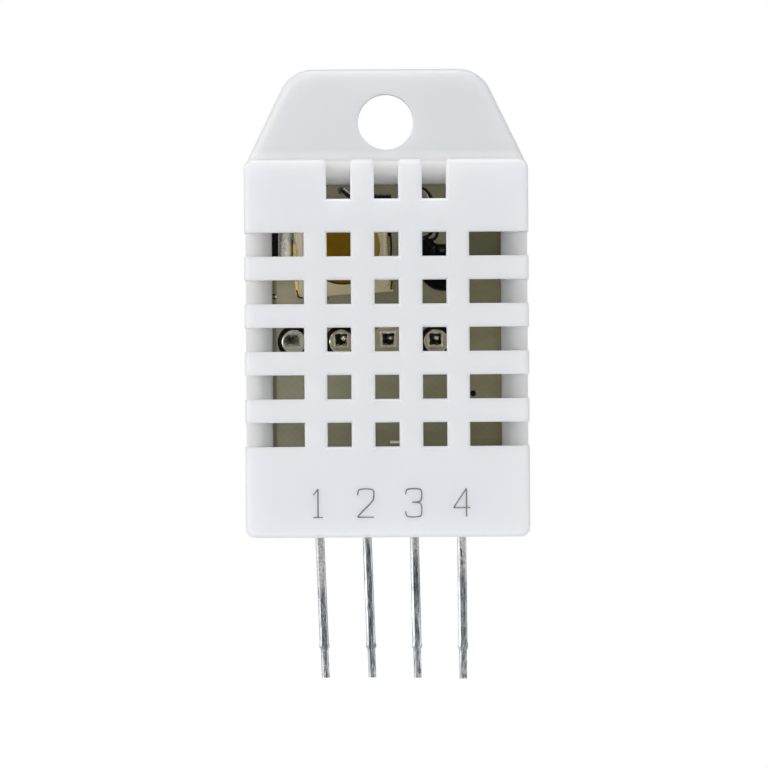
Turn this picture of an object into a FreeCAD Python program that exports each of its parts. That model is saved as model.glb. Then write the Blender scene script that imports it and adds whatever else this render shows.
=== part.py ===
import FreeCAD, Part
import math
import os
import re
import Sketcher

# Temperature and humidity sensor in a white two-part case with four pins.
# Frame: millimetres, +Z up, the grille faces -Y, the case's back lies on y = 0.
# The origin is the centre of the hanging hole, on the back plane.
# A depth is a distance from the back plane towards the front, so y = -depth.

SIZES = {
    # Case, as seen from the front and from the side
    "body_width": 15.1,
    "body_height": 20.08,
    "corner_radius": 0.5,
    "front_edge_radius": 0.3,
    # Front grille: walls, windows and the slots that wrap round its edges
    "side_wall": 1.42,
    "top_wall": 1.24,
    "front_wall": 1.3,
    "skirt_wall": 0.9,
    "column_pitch": 2.54,
    "row_pitch": 2.527,
    "window_size": 1.28,
    "outer_bar": 1.21,
    "first_row_drop": 4.51,
    "top_notch_drop": 2.1,
    "lip_thickness": 0.3,
    "window_chamfer": 0.12,
    # Rear housing: plate, hanging tab and the rim that carries the board
    "plate_thickness": 1.6,
    "floor_thickness": 1.0,
    "tab_height": 5.05,
    "tab_top_width": 10.2,
    "tab_corner_radius": 1.9,
    "tab_edge_radius": 0.45,
    "back_edge_radius": 0.2,
    "hole_diameter": 3.0,
    "hole_rise": 2.2,
    "rim_thickness": 0.8,
    "snap_radius": 0.2,
    "snap_length": 4.0,
    "fit_gap": 0.05,
    # Circuit board
    "board_thickness": 1.0,
    "board_gap": 0.15,
    "board_foot_gap": 0.5,
    "board_shift": 0.1,
    "copper_thickness": 0.05,
    "via_diameter": 0.3,
    "via_x": 4.5,
    "via_drop": 12.42,
    # Pins that grip the board's lower edge
    "pin_pitch": 2.54,
    "pin_width": 0.5,
    "pin_thickness": 0.25,
    "pin_length": 7.7,
    "finger_width": 0.45,
    "finger_gap": 0.1,
    "finger_length": 1.4,
    "stub_drop": 5.75,
    "stub_height": 0.35,
    "stub_reach": 0.07,
    "tip_inset": 0.02,
    "supply_tip_shift": 0.28,
    "data_tip_shift": 0.21,
    "spare_tip_shift": 0.15,
    "ground_tip_shift": 0.04,
    "solder_height": 0.3,
    "solder_margin": 0.1,
    "solder_slope": 35.0,
    "clip_relief": 0.4,
    # Round solder joints in the middle of the board
    "joint_drop": 9.66,
    "joint_wall_gap": 0.17,
    "joint_pitch": 2.54,
    "joint_diameter": 1.33,
    "joint_height": 0.3,
    "joint_bevel": 0.1,
    "joint_pad_diameter": 1.76,
    # Humidity element and the solder strip that its left contact stands against
    "element_top_gap": 0.83,
    "element_turn": 3.6,
    "element_size": 5.1,
    "element_thickness": 0.5,
    "element_stand": 0.9,
    "film_diameter": 4.0,
    "film_thickness": 0.06,
    "contact_thickness": 0.12,
    "contact_length": 2.85,
    "contact_drop": 1.02,
    "contact_grip": 0.08,
    "contact_foot": 0.35,
    "contact_gap": 0.05,
    "strip_wall_gap": 0.35,
    "strip_rise": 0.52,
    "strip_width": 0.63,
    "strip_length": 3.5,
    "strip_height": 0.25,
    "strip_edge_radius": 0.2,
    # Thermistor bead
    "bead_gap": 1.48,
    "bead_top_gap": 3.3,
    "bead_turn": 35.0,
    "bead_diameter": 2.4,
    "bead_stand": 0.1,
    "bead_clearance": 0.3,
    "neck_diameter": 1.1,
    "neck_reach": 1.55,
    # Leads of the humidity element and of the thermistor, and the holes they pass
    "lead_diameter": 0.3,
    "lead_bend": 0.3,
    "lead_tail": 0.45,
    "lead_hole_clearance": 0.04,
    "lead_joint_diameter": 0.9,
    "lead_joint_height": 0.3,
    "lead_relief": 0.65,
    "humidity_hole_shift": -0.07,
    "humidity_hole_gap": 0.17,
    "humidity_lead_slant": 0.5,
    "humidity_lead_inset": 0.1,
    "humidity_lead_lift": 0.13,
    "left_hole_shift": -1.78,
    "left_hole_gap": 0.51,
    "right_hole_shift": 0.55,
    "right_hole_gap": 0.91,
    "lead_rise": 0.65,
    "lead_spread": 0.19,
    "left_lead_run": 0.6,
    "right_lead_run": 0.3,
    "arch_width": 1.21,
    "arch_lift": 0.55,
    "arch_rise": 0.3,
    # Microcontroller on the board's back
    "chip_width": 8.65,
    "chip_height": 3.9,
    "chip_thickness": 1.25,
    "chip_stand": 0.1,
    "chip_clearance": 0.25,
    "chip_rise": 0.35,
    "chip_edge": 0.15,
    "chip_lead_pitch": 1.27,
    "chip_lead_width": 0.4,
    "chip_lead_thickness": 0.2,
    "chip_lead_knee": 0.45,
    "chip_lead_span": 6.0,
    # Small chip parts on the board's back
    "small_length": 1.6,
    "small_width": 0.8,
    "cap_length": 0.3,
    "capacitor_height": 0.8,
    "resistor_height": 0.45,
    "upper_row_rise": 4.9,
    "lower_row_fall": 4.5,
    "small_row_x": 2.6,
}

# What the object has a whole number of
WINDOW_COLUMNS = 3
WINDOW_ROWS = 5
JOINT_COUNT = 4
LEAD_COUNT = 7
WIRE_SIDES = 12
PIN_LABELS = ("supply_pin", "data_pin", "spare_pin", "ground_pin")

# Levels and half widths that several pieces share, as formulas of the sizes. The case
# takes its depth from what it holds: the chip behind the board and the bead in front.
TOP = "(-hole_rise)"
BOTTOM = "(-hole_rise - body_height)"
HALF = "(body_width / 2)"
INNER_HALF = "(body_width / 2 - side_wall)"
POCKET_HALF = "(body_width / 2 - skirt_wall)"
RIM_HALF = f"({POCKET_HALF} - fit_gap)"
WALL_FOOT = f"({BOTTOM} + skirt_wall)"
POCKET_TOP = f"({TOP} - skirt_wall)"
BOARD_BACK = "(floor_thickness + chip_clearance + chip_thickness + chip_stand)"
RIM_HEIGHT = f"({BOARD_BACK} - plate_thickness)"
BOARD_FRONT = f"({BOARD_BACK} + board_thickness)"
BOARD_TOP = f"({POCKET_TOP} - board_gap)"
BOARD_FOOT = f"({WALL_FOOT} + board_foot_gap)"
COPPER_FRONT = f"({BOARD_FRONT} + copper_thickness)"
SLOT_FLOOR = f"({BOARD_FRONT} + lip_thickness)"
INNER_FRONT = f"({BOARD_FRONT} + bead_stand + bead_diameter + bead_clearance)"
BODY_DEPTH = f"({INNER_FRONT} + front_wall)"
PIN_DEPTH = f"({BOARD_BACK} + board_thickness / 2)"
PIN_ROW_HALF = f"({len(PIN_LABELS) - 1} / 2 * pin_pitch)"
CLIP_HALF = "(1.5 * finger_width + finger_gap)"
FINGER_STEP = "(finger_width + finger_gap)"
CHIP_Z = f"({BOARD_TOP} / 2 + {BOARD_FOOT} / 2 + chip_rise)"
PLATE_FRONT = "(element_stand + element_thickness)"
LEFT_COLUMN = f"(-{WINDOW_COLUMNS - 1} / 2 * column_pitch)"
FIRST_ROW = f"({TOP} - first_row_drop)"
STRIP_X = f"(-{INNER_HALF} + strip_wall_gap + strip_width / 2)"
ELEMENT_X = f"({STRIP_X} + strip_width / 2 + contact_gap + contact_thickness + element_size / 2)"
ELEMENT_Z = f"({TOP} - top_wall - element_top_gap - element_size / 2)"
BEAD_X = f"({ELEMENT_X} + element_size / 2 + contact_thickness + bead_gap + bead_diameter / 2)"
BEAD_Z = f"({TOP} - top_wall - bead_top_gap - bead_diameter / 2)"
HOLE_TOP = f"({TOP} - top_wall - lead_diameter / 2)"
LEAD_HOLES = {
    "humidity": (f"({ELEMENT_X} + humidity_hole_shift)", f"({HOLE_TOP} - humidity_hole_gap)"),
    "left": (f"({BEAD_X} + left_hole_shift)", f"({HOLE_TOP} - left_hole_gap)"),
    "right": (f"({BEAD_X} + right_hole_shift)", f"({HOLE_TOP} - right_hole_gap)"),
}

doc = FreeCAD.newDocument("HumiditySensor")
sheet = doc.addObject("Spreadsheet::Sheet", "Sizes")
for row, (alias, number) in enumerate(SIZES.items(), start=1):
    sheet.set(f"A{row}", alias.replace("_", " "))
    sheet.set(f"B{row}", str(number))
    sheet.setAlias(f"B{row}", alias)
doc.recompute()

SUB_PARTS = []


def formula(text):
    """Puts the sheet's name in front of each size in a formula."""
    return re.sub(r"[a-z][a-z_]+", lambda word: f"Sizes.{word.group(0)}", text)


def bind(thing, place, text):
    thing.setExpression(place, formula(text))


def size(name):
    """The sheet's present number for one size."""
    return float(sheet.get(name))


def new_body(label, x="0", depth="0", z="0"):
    """An empty body whose own origin stands at x, depth and z."""
    body = doc.addObject("PartDesign::Body", label)
    body.Label = label
    bind(body, "Placement.Base.x", x)
    bind(body, "Placement.Base.y", f"-({depth})")
    bind(body, "Placement.Base.z", z)
    SUB_PARTS.append(body)
    return body


def turn(thing, axis, angle):
    """Turns a sub-part about an axis through its own origin."""
    thing.Placement.Rotation = FreeCAD.Rotation(axis, 1)
    bind(thing, "Placement.Rotation.Angle", angle)


def new_sketch(body, name, role, offset):
    sketch = body.newObject("Sketcher::SketchObject", name)
    plane = next(part for part in body.Origin.OriginFeatures if part.Role == role)
    sketch.AttachmentSupport = (plane, [""])
    sketch.MapMode = "FlatFace"
    bind(sketch, "AttachmentOffset.Base.z", offset)
    return sketch


def front_sketch(body, name, depth="0"):
    """A sketch seen from the front: its axes are X and Z, its normal faces the viewer."""
    return new_sketch(body, name, "XZ_Plane", depth)


def side_sketch(body, name, x="0"):
    """A sketch in the plane at x: its axes are Y and Z."""
    return new_sketch(body, name, "YZ_Plane", x)


def level_sketch(body, name, z="0"):
    """A sketch in the plane at height z: its axes are X and Y."""
    return new_sketch(body, name, "XY_Plane", z)


def place_point(sketch, edge, end, across, up):
    """Ties one end or the centre of an edge to two formulas."""
    here = sketch.getPoint(edge, end)
    for kind, text, start in (("DistanceX", across, here.x), ("DistanceY", up, here.y)):
        number = sketch.addConstraint(Sketcher.Constraint(kind, -1, 1, edge, end, start))
        bind(sketch, f"Constraints[{number}]", text)


def outline(sketch, corners):
    """Straight lines through the corners, each a pair of formulas, closed to a loop."""
    first = sketch.GeometryCount
    count = len(corners)
    step = 2 * math.pi / count
    start = [FreeCAD.Vector(math.cos(step * i), math.sin(step * i)) for i in range(count)]
    for i in range(count):
        sketch.addGeometry(Part.LineSegment(start[i], start[(i + 1) % count]))
    for i in range(count):
        following = first + (i + 1) % count
        sketch.addConstraint(Sketcher.Constraint("Coincident", first + i, 2, following, 1))
    for i, (across, up) in enumerate(corners):
        place_point(sketch, first + i, 1, across, up)


def rectangle(sketch, left, right, low, high):
    outline(sketch, [(left, low), (right, low), (right, high), (left, high)])


def circle(sketch, across, up, diameter):
    edge = sketch.addGeometry(Part.Circle(FreeCAD.Vector(), FreeCAD.Vector(0, 0, 1), 1.0))
    place_point(sketch, edge, 3, across, up)
    number = sketch.addConstraint(Sketcher.Constraint("Diameter", edge, 2.0))
    bind(sketch, f"Constraints[{number}]", diameter)


def pad(body, sketch, length, taper=None):
    feature = body.newObject("PartDesign::Pad", sketch.Name + "Pad")
    feature.Profile = sketch
    bind(feature, "Length", length)
    if taper is not None:
        bind(feature, "TaperAngle", taper)
    body.Tip = feature
    return feature


def pocket(body, sketch, length=None):
    """Cuts from the sketch away from the viewer, all the way when no length is given."""
    feature = body.newObject("PartDesign::Pocket", sketch.Name + "Pocket")
    feature.Profile = sketch
    if length is None:
        feature.Type = "ThroughAll"
    else:
        bind(feature, "Length", length)
    body.Tip = feature
    return feature


def row_of(body, original, axis, step, count, reverse=False, second=None):
    """Repeats a feature along a sketch axis; second holds another axis, step and count."""
    feature = body.newObject("PartDesign::LinearPattern", original.Name + "Row")
    feature.Originals = [original]
    feature.Direction = (original.Profile[0], [axis])
    feature.Reversed = reverse
    bind(feature, "Length", f"{step} * {count - 1}")
    feature.Occurrences = count
    if second is not None:
        axis, step, count = second
        feature.Direction2 = (original.Profile[0], [axis])
        feature.Reversed2 = True
        bind(feature, "Length2", f"{step} * {count - 1}")
        feature.Occurrences2 = count
    body.Tip = feature
    return feature


def mirrored(body, originals):
    """Repeats features on the other side of the body's own X = 0 plane."""
    feature = body.newObject("PartDesign::Mirrored", originals[0].Name + "Mirrored")
    plane = next(part for part in body.Origin.OriginFeatures if part.Role == "YZ_Plane")
    feature.Originals = originals
    feature.MirrorPlane = (plane, [""])
    body.Tip = feature
    return feature


def edges_where(feature, wanted):
    """Names of the feature's edges whose two ends and middle all satisfy a test."""
    names = []
    for number, edge in enumerate(feature.Shape.Edges, start=1):
        first, last = edge.ParameterRange
        points = [edge.valueAt(first + (last - first) * part) for part in (0.0, 0.5, 1.0)]
        if all(wanted(point) for point in points):
            names.append(f"Edge{number}")
    return names


def fillet(body, feature, wanted, radius):
    """Rounds the edges of the body's last feature that satisfy a test."""
    doc.recompute()
    rounded = body.newObject("PartDesign::Fillet", feature.Name + "Fillet")
    rounded.Base = (feature, edges_where(feature, wanted))
    bind(rounded, "Radius", radius)
    body.Tip = rounded
    doc.recompute()
    return rounded


def chamfer(body, feature, wanted, reach):
    """Bevels the edges of the body's last feature that satisfy a test."""
    doc.recompute()
    bevelled = body.newObject("PartDesign::Chamfer", feature.Name + "Chamfer")
    bevelled.Base = (feature, edges_where(feature, wanted))
    bind(bevelled, "Size", reach)
    body.Tip = bevelled
    return bevelled


def near(first, second):
    return abs(first - second) < 1e-4


def revolve(body, sketch):
    """Turns a profile once round the sketch's upright axis."""
    feature = body.newObject("PartDesign::Revolution", sketch.Name + "Revolution")
    feature.Profile = sketch
    feature.ReferenceAxis = (sketch, ["V_Axis"])
    feature.Angle = 360
    body.Tip = feature
    return feature


def block(label, x, depth, z, width, height, thickness):
    """A rectangular sub-part centred on x and z whose back lies at a depth."""
    body = new_body(label, x, depth, z)
    sketch = front_sketch(body, label + "Outline")
    rectangle(sketch, f"-({width}) / 2", f"({width}) / 2", f"-({height}) / 2", f"({height}) / 2")
    return body, pad(body, sketch, thickness)


# The front grille is one moulding: a deep cover, open at the back, whose front wall holds
# rows of square windows. The outer windows and the top ones run out through the walls.
def make_front_grille():
    body = new_body("front_grille")
    cover = front_sketch(body, "Cover", "plate_thickness")
    rectangle(cover, f"-{HALF}", HALF, BOTTOM, TOP)
    shell = pad(body, cover, f"{BODY_DEPTH} - plate_thickness")
    doc.recompute()
    front = -shell.Shape.BoundBox.YMin
    half = size("body_width") / 2
    top = -size("hole_rise")
    height = size("body_height")
    rounding = size("front_edge_radius")
    corners = fillet(body, shell, lambda point: near(abs(point.x), half)
                     and (near(point.z, top) or near(point.z, top - height)), "corner_radius")
    fillet(body, corners, lambda point: near(point.y, -front), "front_edge_radius")

    cavity = front_sketch(body, "Cavity", INNER_FRONT)
    rectangle(cavity, f"-{INNER_HALF}", INNER_HALF, WALL_FOOT, f"{TOP} - top_wall")
    pocket(body, cavity)
    seat = front_sketch(body, "BoardSeat", BOARD_FRONT)
    rectangle(seat, f"-{POCKET_HALF}", POCKET_HALF, WALL_FOOT, POCKET_TOP)
    pocket(body, seat)

    half_window = "window_size / 2"
    row_low = f"{FIRST_ROW} - {half_window}"
    row_high = f"{FIRST_ROW} + {half_window}"
    column = (f"{LEFT_COLUMN} - {half_window}", f"{LEFT_COLUMN} + {half_window}")
    window = front_sketch(body, "Window", BODY_DEPTH)
    rectangle(window, *column, row_low, row_high)
    row_of(body, pocket(body, window, "front_wall"), "H_Axis", "column_pitch", WINDOW_COLUMNS,
           second=("V_Axis", "row_pitch", WINDOW_ROWS))

    slot = front_sketch(body, "SideSlot", BODY_DEPTH)
    slot_start = f"({half_window} - {LEFT_COLUMN} + outer_bar)"
    rectangle(slot, f"-{HALF} - side_wall", f"-{slot_start}", row_low, row_high)
    rectangle(slot, slot_start, f"{HALF} + side_wall", row_low, row_high)
    row_of(body, pocket(body, slot, f"{BODY_DEPTH} - {SLOT_FLOOR}"), "V_Axis", "row_pitch",
           WINDOW_ROWS, reverse=True)

    notch = front_sketch(body, "TopNotch", BODY_DEPTH)
    rectangle(notch, *column, f"{TOP} - top_notch_drop", f"{TOP} + top_wall")
    row_of(body, pocket(body, notch, f"{BODY_DEPTH} - {SLOT_FLOOR}"), "H_Axis", "column_pitch",
           WINDOW_COLUMNS)

    exit_notch = front_sketch(body, "PinNotch", f"{PIN_DEPTH} + pin_thickness / 2 + fit_gap")
    notch_half = "(pin_width / 2 + fit_gap)"
    first_pin = f"(board_shift - {PIN_ROW_HALF})"
    rectangle(exit_notch, f"{first_pin} - {notch_half}", f"{first_pin} + {notch_half}",
              f"{BOTTOM} - skirt_wall", WALL_FOOT)
    row_of(body, pocket(body, exit_notch), "H_Axis", "pin_pitch", len(PIN_LABELS))

    groove = level_sketch(body, "SnapGroove", f"({TOP} + {BOTTOM}) / 2 - snap_length / 2 - fit_gap")
    circle(groove, f"-{POCKET_HALF}", f"-(plate_thickness + {RIM_HEIGHT} / 2)",
           "2 * (snap_radius + 2 * fit_gap)")
    cut = pocket(body, groove, "snap_length + 2 * fit_gap")
    cut.Reversed = True
    grooves = mirrored(body, [cut])
    chamfer(body, grooves, lambda point: near(point.y, -front) and abs(point.x) < half - rounding
            and top - height + rounding < point.z < top - rounding, "window_chamfer")


# The rear housing closes the cover. It carries the tab with the hanging hole, and a rim
# that slides into the cover, snaps behind two grooves and presses the board forward.
def make_rear_housing():
    body = new_body("rear_housing")
    plate = front_sketch(body, "Plate")
    outline(plate, [(f"-{HALF}", BOTTOM), (HALF, BOTTOM), (HALF, TOP),
                    ("tab_top_width / 2", f"{TOP} + tab_height"),
                    ("-tab_top_width / 2", f"{TOP} + tab_height"), (f"-{HALF}", TOP)])
    base = pad(body, plate, "plate_thickness")
    half = size("body_width") / 2
    top = -size("hole_rise")
    corners = fillet(body, base, lambda point: near(abs(point.x), half)
                     and near(point.z, top - size("body_height")), "corner_radius")
    shoulders = fillet(body, corners, lambda point: near(abs(point.x), size("tab_top_width") / 2)
                       and near(point.z, top + size("tab_height")), "tab_corner_radius")
    tab_front = fillet(body, shoulders, lambda point: near(point.y, -size("plate_thickness"))
                       and point.z > top - 1e-3, "tab_edge_radius")
    fillet(body, tab_front, lambda point: near(point.y, 0), "back_edge_radius")

    hole = front_sketch(body, "HangingHole", "plate_thickness")
    circle(hole, "0", "0", "hole_diameter")
    pocket(body, hole)

    hollow = front_sketch(body, "Hollow", "plate_thickness")
    rim_inner = f"({RIM_HALF} - rim_thickness)"
    rim_low = f"({WALL_FOOT} + fit_gap)"
    rim_high = f"({POCKET_TOP} - fit_gap)"
    rectangle(hollow, f"-{rim_inner}", rim_inner, f"{rim_low} + rim_thickness",
              f"{rim_high} - rim_thickness")
    pocket(body, hollow, "plate_thickness - floor_thickness")

    rim = front_sketch(body, "Rim", "plate_thickness")
    rectangle(rim, f"-{RIM_HALF}", RIM_HALF, rim_low, rim_high)
    rectangle(rim, f"-{rim_inner}", rim_inner, f"{rim_low} + rim_thickness",
              f"{rim_high} - rim_thickness")
    pad(body, rim, RIM_HEIGHT)

    clip_relief = front_sketch(body, "ClipRelief", BOARD_BACK)
    relief_half = f"({PIN_ROW_HALF} + {CLIP_HALF} + clip_relief)"
    rectangle(clip_relief, f"board_shift - {relief_half}", f"board_shift + {relief_half}",
              f"{rim_low} - fit_gap", f"{rim_low} + rim_thickness")
    pocket(body, clip_relief, "clip_relief")
    lead_relief = front_sketch(body, "LeadRelief", BOARD_BACK)
    rectangle(lead_relief, f"-{rim_inner} + rim_thickness", f"{rim_inner} - rim_thickness",
              f"{rim_high} - rim_thickness", f"{rim_high} + fit_gap")
    pocket(body, lead_relief, "lead_relief")

    tongue = front_sketch(body, "PinTongue", "plate_thickness")
    first_pin = f"(board_shift - {PIN_ROW_HALF})"
    rectangle(tongue, f"{first_pin} - pin_width / 2", f"{first_pin} + pin_width / 2",
              BOTTOM, WALL_FOOT)
    tongue_pad = pad(body, tongue, f"{PIN_DEPTH} - pin_thickness / 2 - fit_gap - plate_thickness")
    row_of(body, tongue_pad, "H_Axis", "pin_pitch", len(PIN_LABELS))

    ridge = level_sketch(body, "SnapRidge", f"({TOP} + {BOTTOM}) / 2 - snap_length / 2")
    circle(ridge, f"-{RIM_HALF}", f"-(plate_thickness + {RIM_HEIGHT} / 2)", "2 * snap_radius")
    mirrored(body, [pad(body, ridge, "snap_length")])


def make_circuit_board():
    """Returns the sketch of the holes, from which the leads take their places."""
    body = new_body("circuit_board", "board_shift", BOARD_BACK)
    slab = front_sketch(body, "Board")
    half = f"({POCKET_HALF} - board_gap)"
    rectangle(slab, f"-{half}", half, BOARD_FOOT, BOARD_TOP)
    pad(body, slab, "board_thickness")
    drilled = front_sketch(body, "Drilled", "board_thickness")
    for x, z in LEAD_HOLES.values():
        circle(drilled, x, z, "lead_diameter + 2 * lead_hole_clearance")
    circle(drilled, "via_x", f"{TOP} - via_drop", "via_diameter")
    pocket(body, drilled)
    return drilled


# Each pin is a tinned strip whose head is slit into three fingers. The middle one lies on
# the board's front pad and the outer two on its back pad. Stubs show where the carrier
# strip was cut away, and outside the case each pin leans a little to one side.
def make_pin(label, place):
    x = f"(board_shift - {PIN_ROW_HALF} + {place} * pin_pitch)"
    body = new_body(label, x)
    strip = front_sketch(body, label + "Strip", f"{PIN_DEPTH} - pin_thickness / 2")
    lean = f"({label.split('_')[0]}_tip_shift / pin_length)"
    neck = "(pin_width / 2)"
    shoulder_low = f"({WALL_FOOT} + fit_gap)"
    shoulder_high = f"({BOARD_FOOT} - fit_gap)"
    right_side = [(CLIP_HALF, shoulder_high), (CLIP_HALF, shoulder_low), (neck, shoulder_low),
                  (neck, BOTTOM)]
    left_side = [(f"-{across}", up) for across, up in right_side]
    for drop, reach in (("stub_drop", "0"), ("stub_drop", "stub_reach"),
                        ("(stub_drop + stub_height)", "stub_reach"),
                        ("(stub_drop + stub_height)", "(-tip_inset)"),
                        ("pin_length", "(-tip_inset)")):
        right_side.append((f"{lean} * {drop} + {neck} + {reach}", f"{BOTTOM} - {drop}"))
        left_side.append((f"{lean} * {drop} - {neck} - {reach}", f"{BOTTOM} - {drop}"))
    outline(strip, right_side + left_side[::-1])
    pad(body, strip, "pin_thickness")

    outer = "(board_thickness / 2 + copper_thickness)"
    inner_half = "(pin_thickness / 2)"
    profile = [(inner_half, shoulder_low), (f"-{inner_half}", shoulder_low),
               (f"-{inner_half}", shoulder_high), (outer, shoulder_high),
               (outer, f"{BOARD_FOOT} + finger_length"),
               (f"({outer} + pin_thickness)", f"{BOARD_FOOT} + finger_length"),
               (f"({outer} + pin_thickness)", f"({shoulder_low} + {shoulder_high}) / 2")]
    front_finger = side_sketch(body, label + "FrontFinger", "-finger_width / 2")
    outline(front_finger, [(f"-{PIN_DEPTH} - {across}", up) for across, up in profile])
    pad(body, front_finger, "finger_width")
    back_finger = side_sketch(body, label + "BackFinger", f"{FINGER_STEP} - finger_width / 2")
    outline(back_finger, [(f"-{PIN_DEPTH} + {across}", up) for across, up in profile])
    mirrored(body, [pad(body, back_finger, "finger_width")])


# Tinned pads under the fingers on both faces of the board, and the solder over them
def make_edge_pads():
    body = new_body("edge_pads", f"board_shift - {PIN_ROW_HALF}")
    high = f"{BOARD_FOOT} + finger_length + {CLIP_HALF}"
    for side, depth in (("Front", BOARD_FRONT), ("Back", f"{BOARD_BACK} - copper_thickness")):
        sketch = front_sketch(body, f"{side}Pad", depth)
        rectangle(sketch, f"-{CLIP_HALF}", CLIP_HALF, BOARD_FOOT, high)
        row_of(body, pad(body, sketch, "copper_thickness"), "H_Axis", "pin_pitch",
               len(PIN_LABELS))


def make_pin_solder():
    body = new_body("pin_solder", f"board_shift - {PIN_ROW_HALF}")
    half = f"({CLIP_HALF} - solder_margin / 2)"
    mound = front_sketch(body, "Mound", COPPER_FRONT)
    rectangle(mound, f"-{half}", half, f"{BOARD_FOOT} + solder_margin",
              f"{BOARD_FOOT} + finger_length + 2 * solder_margin")
    mound_pad = pad(body, mound, "solder_height", taper="-solder_slope")
    row_of(body, mound_pad, "H_Axis", "pin_pitch", len(PIN_LABELS))
    bed = front_sketch(body, "FingerBed", f"{COPPER_FRONT} + solder_height")
    rectangle(bed, "-finger_width / 2", "finger_width / 2", BOARD_FOOT,
              f"{BOARD_FOOT} + finger_length")
    row_of(body, pocket(body, bed), "H_Axis", "pin_pitch", len(PIN_LABELS))


# Low buttons of solder on four round pads, left from test and calibration
def make_test_points():
    first_x = f"board_shift - {INNER_HALF} + joint_wall_gap + joint_pad_diameter / 2"
    joints = new_body("test_point_joints", first_x, COPPER_FRONT, f"{TOP} - joint_drop")
    button = front_sketch(joints, "Button")
    circle(button, "0", "0", "joint_diameter")
    buttons = row_of(joints, pad(joints, button, "joint_height"), "H_Axis", "joint_pitch",
                     JOINT_COUNT)
    crown = -size("joint_height")
    chamfer(joints, buttons, lambda point: near(point.y, crown), "joint_bevel")
    pads = new_body("test_pads", first_x, BOARD_FRONT, f"{TOP} - joint_drop")
    sketch = front_sketch(pads, "RoundPad")
    circle(sketch, "0", "0", "joint_pad_diameter")
    row_of(pads, pad(pads, sketch, "copper_thickness"), "H_Axis", "joint_pitch", JOINT_COUNT)


# The humidity element is a ceramic plate with a round sensing film. Two gold contacts grip
# its edges and hold it clear of the board, turned a few degrees as it was soldered.
def element_body(label):
    body = new_body(label, f"{ELEMENT_X} + board_shift", BOARD_FRONT, ELEMENT_Z)
    turn(body, FreeCAD.Vector(0, -1, 0), "element_turn")
    return body


def make_humidity_element():
    plate = element_body("humidity_plate")
    square = front_sketch(plate, "PlateOutline", "element_stand")
    half = "(element_size / 2)"
    rectangle(square, f"-{half}", half, f"-{half}", half)
    pad(plate, square, "element_thickness")
    film = element_body("humidity_film")
    disc = front_sketch(film, "FilmOutline", PLATE_FRONT)
    circle(disc, "0", "0", "film_diameter")
    pad(film, disc, "film_thickness")
    for label, side in (("left_contact", "-"), ("right_contact", "")):
        contact = element_body(label)
        profile = level_sketch(contact, label + "Profile", "-contact_drop - contact_length / 2")
        outer = f"({half} + contact_thickness)"
        corners = [(half, f"(-{PLATE_FRONT})"), (f"({half} - contact_grip)", f"(-{PLATE_FRONT})"),
                   (f"({half} - contact_grip)", f"(-{PLATE_FRONT} - contact_thickness)"),
                   (outer, f"(-{PLATE_FRONT} - contact_thickness)"),
                   (outer, "0"), (f"({half} - contact_foot)", "0"),
                   (f"({half} - contact_foot)", "(-contact_thickness)"),
                   (half, "(-contact_thickness)")]
        outline(profile, [(side + across, up) for across, up in corners])
        pad(contact, profile, "contact_length")
    return plate


def make_contact_solder():
    body, strip = block("contact_solder", f"{STRIP_X} + board_shift", BOARD_FRONT,
                        f"{ELEMENT_Z} + strip_rise", "strip_width", "strip_length", "strip_height")
    crown = -size("strip_height")
    fillet(body, strip, lambda point: near(point.y, crown), "strip_edge_radius")


# The leads are wires of straight runs joined by tangent arcs, with a many-sided section in
# place of a round one. Each comes up through a hole of the board and is soldered at its back.
def wire_path(points, bend):
    """Straight runs through the points with an arc of one radius at each turn."""
    edges = []
    start = points[0]
    for before, corner, after in zip(points, points[1:], points[2:]):
        inward = (before - corner).normalize()
        outward = (after - corner).normalize()
        half_turn = (math.pi - inward.getAngle(outward)) / 2
        reach = bend * math.tan(half_turn)
        reach = min(reach, 0.45 * (before - corner).Length, 0.45 * (after - corner).Length)
        enter = corner + inward * reach
        leave = corner + outward * reach
        radius = reach / math.tan(half_turn)
        bisector = (inward + outward).normalize()
        centre = corner + bisector * math.hypot(radius, reach)
        middle = centre - bisector * radius
        edges.append(Part.LineSegment(start, enter).toShape())
        edges.append(Part.Arc(enter, middle, leave).toShape())
        start = leave
    edges.append(Part.LineSegment(start, points[-1]).toShape())
    return Part.Wire(edges)


def make_lead(label, points):
    """A wire along the points, each given as x, depth and z. The first run is along Y."""
    radius = size("lead_diameter") / 2
    route = [FreeCAD.Vector(x, -depth, z) for x, depth, z in points]
    path = wire_path(route, size("lead_bend"))
    step = 2 * math.pi / WIRE_SIDES
    corners = [route[0] + FreeCAD.Vector(math.cos(step * i), 0, math.sin(step * i)) * radius
               for i in range(WIRE_SIDES)]
    section = Part.makePolygon(corners + corners[:1])
    lead = doc.addObject("Part::Feature", label)
    lead.Label = label
    lead.Shape = path.makePipeShell([section], True, False)
    expected = Part.Face(section).Area * path.Length
    if abs(lead.Shape.Volume / expected - 1) > 0.01:
        raise ValueError(f"{label} has volume {lead.Shape.Volume}, not {expected}")
    SUB_PARTS.append(lead)
    return lead


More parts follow.
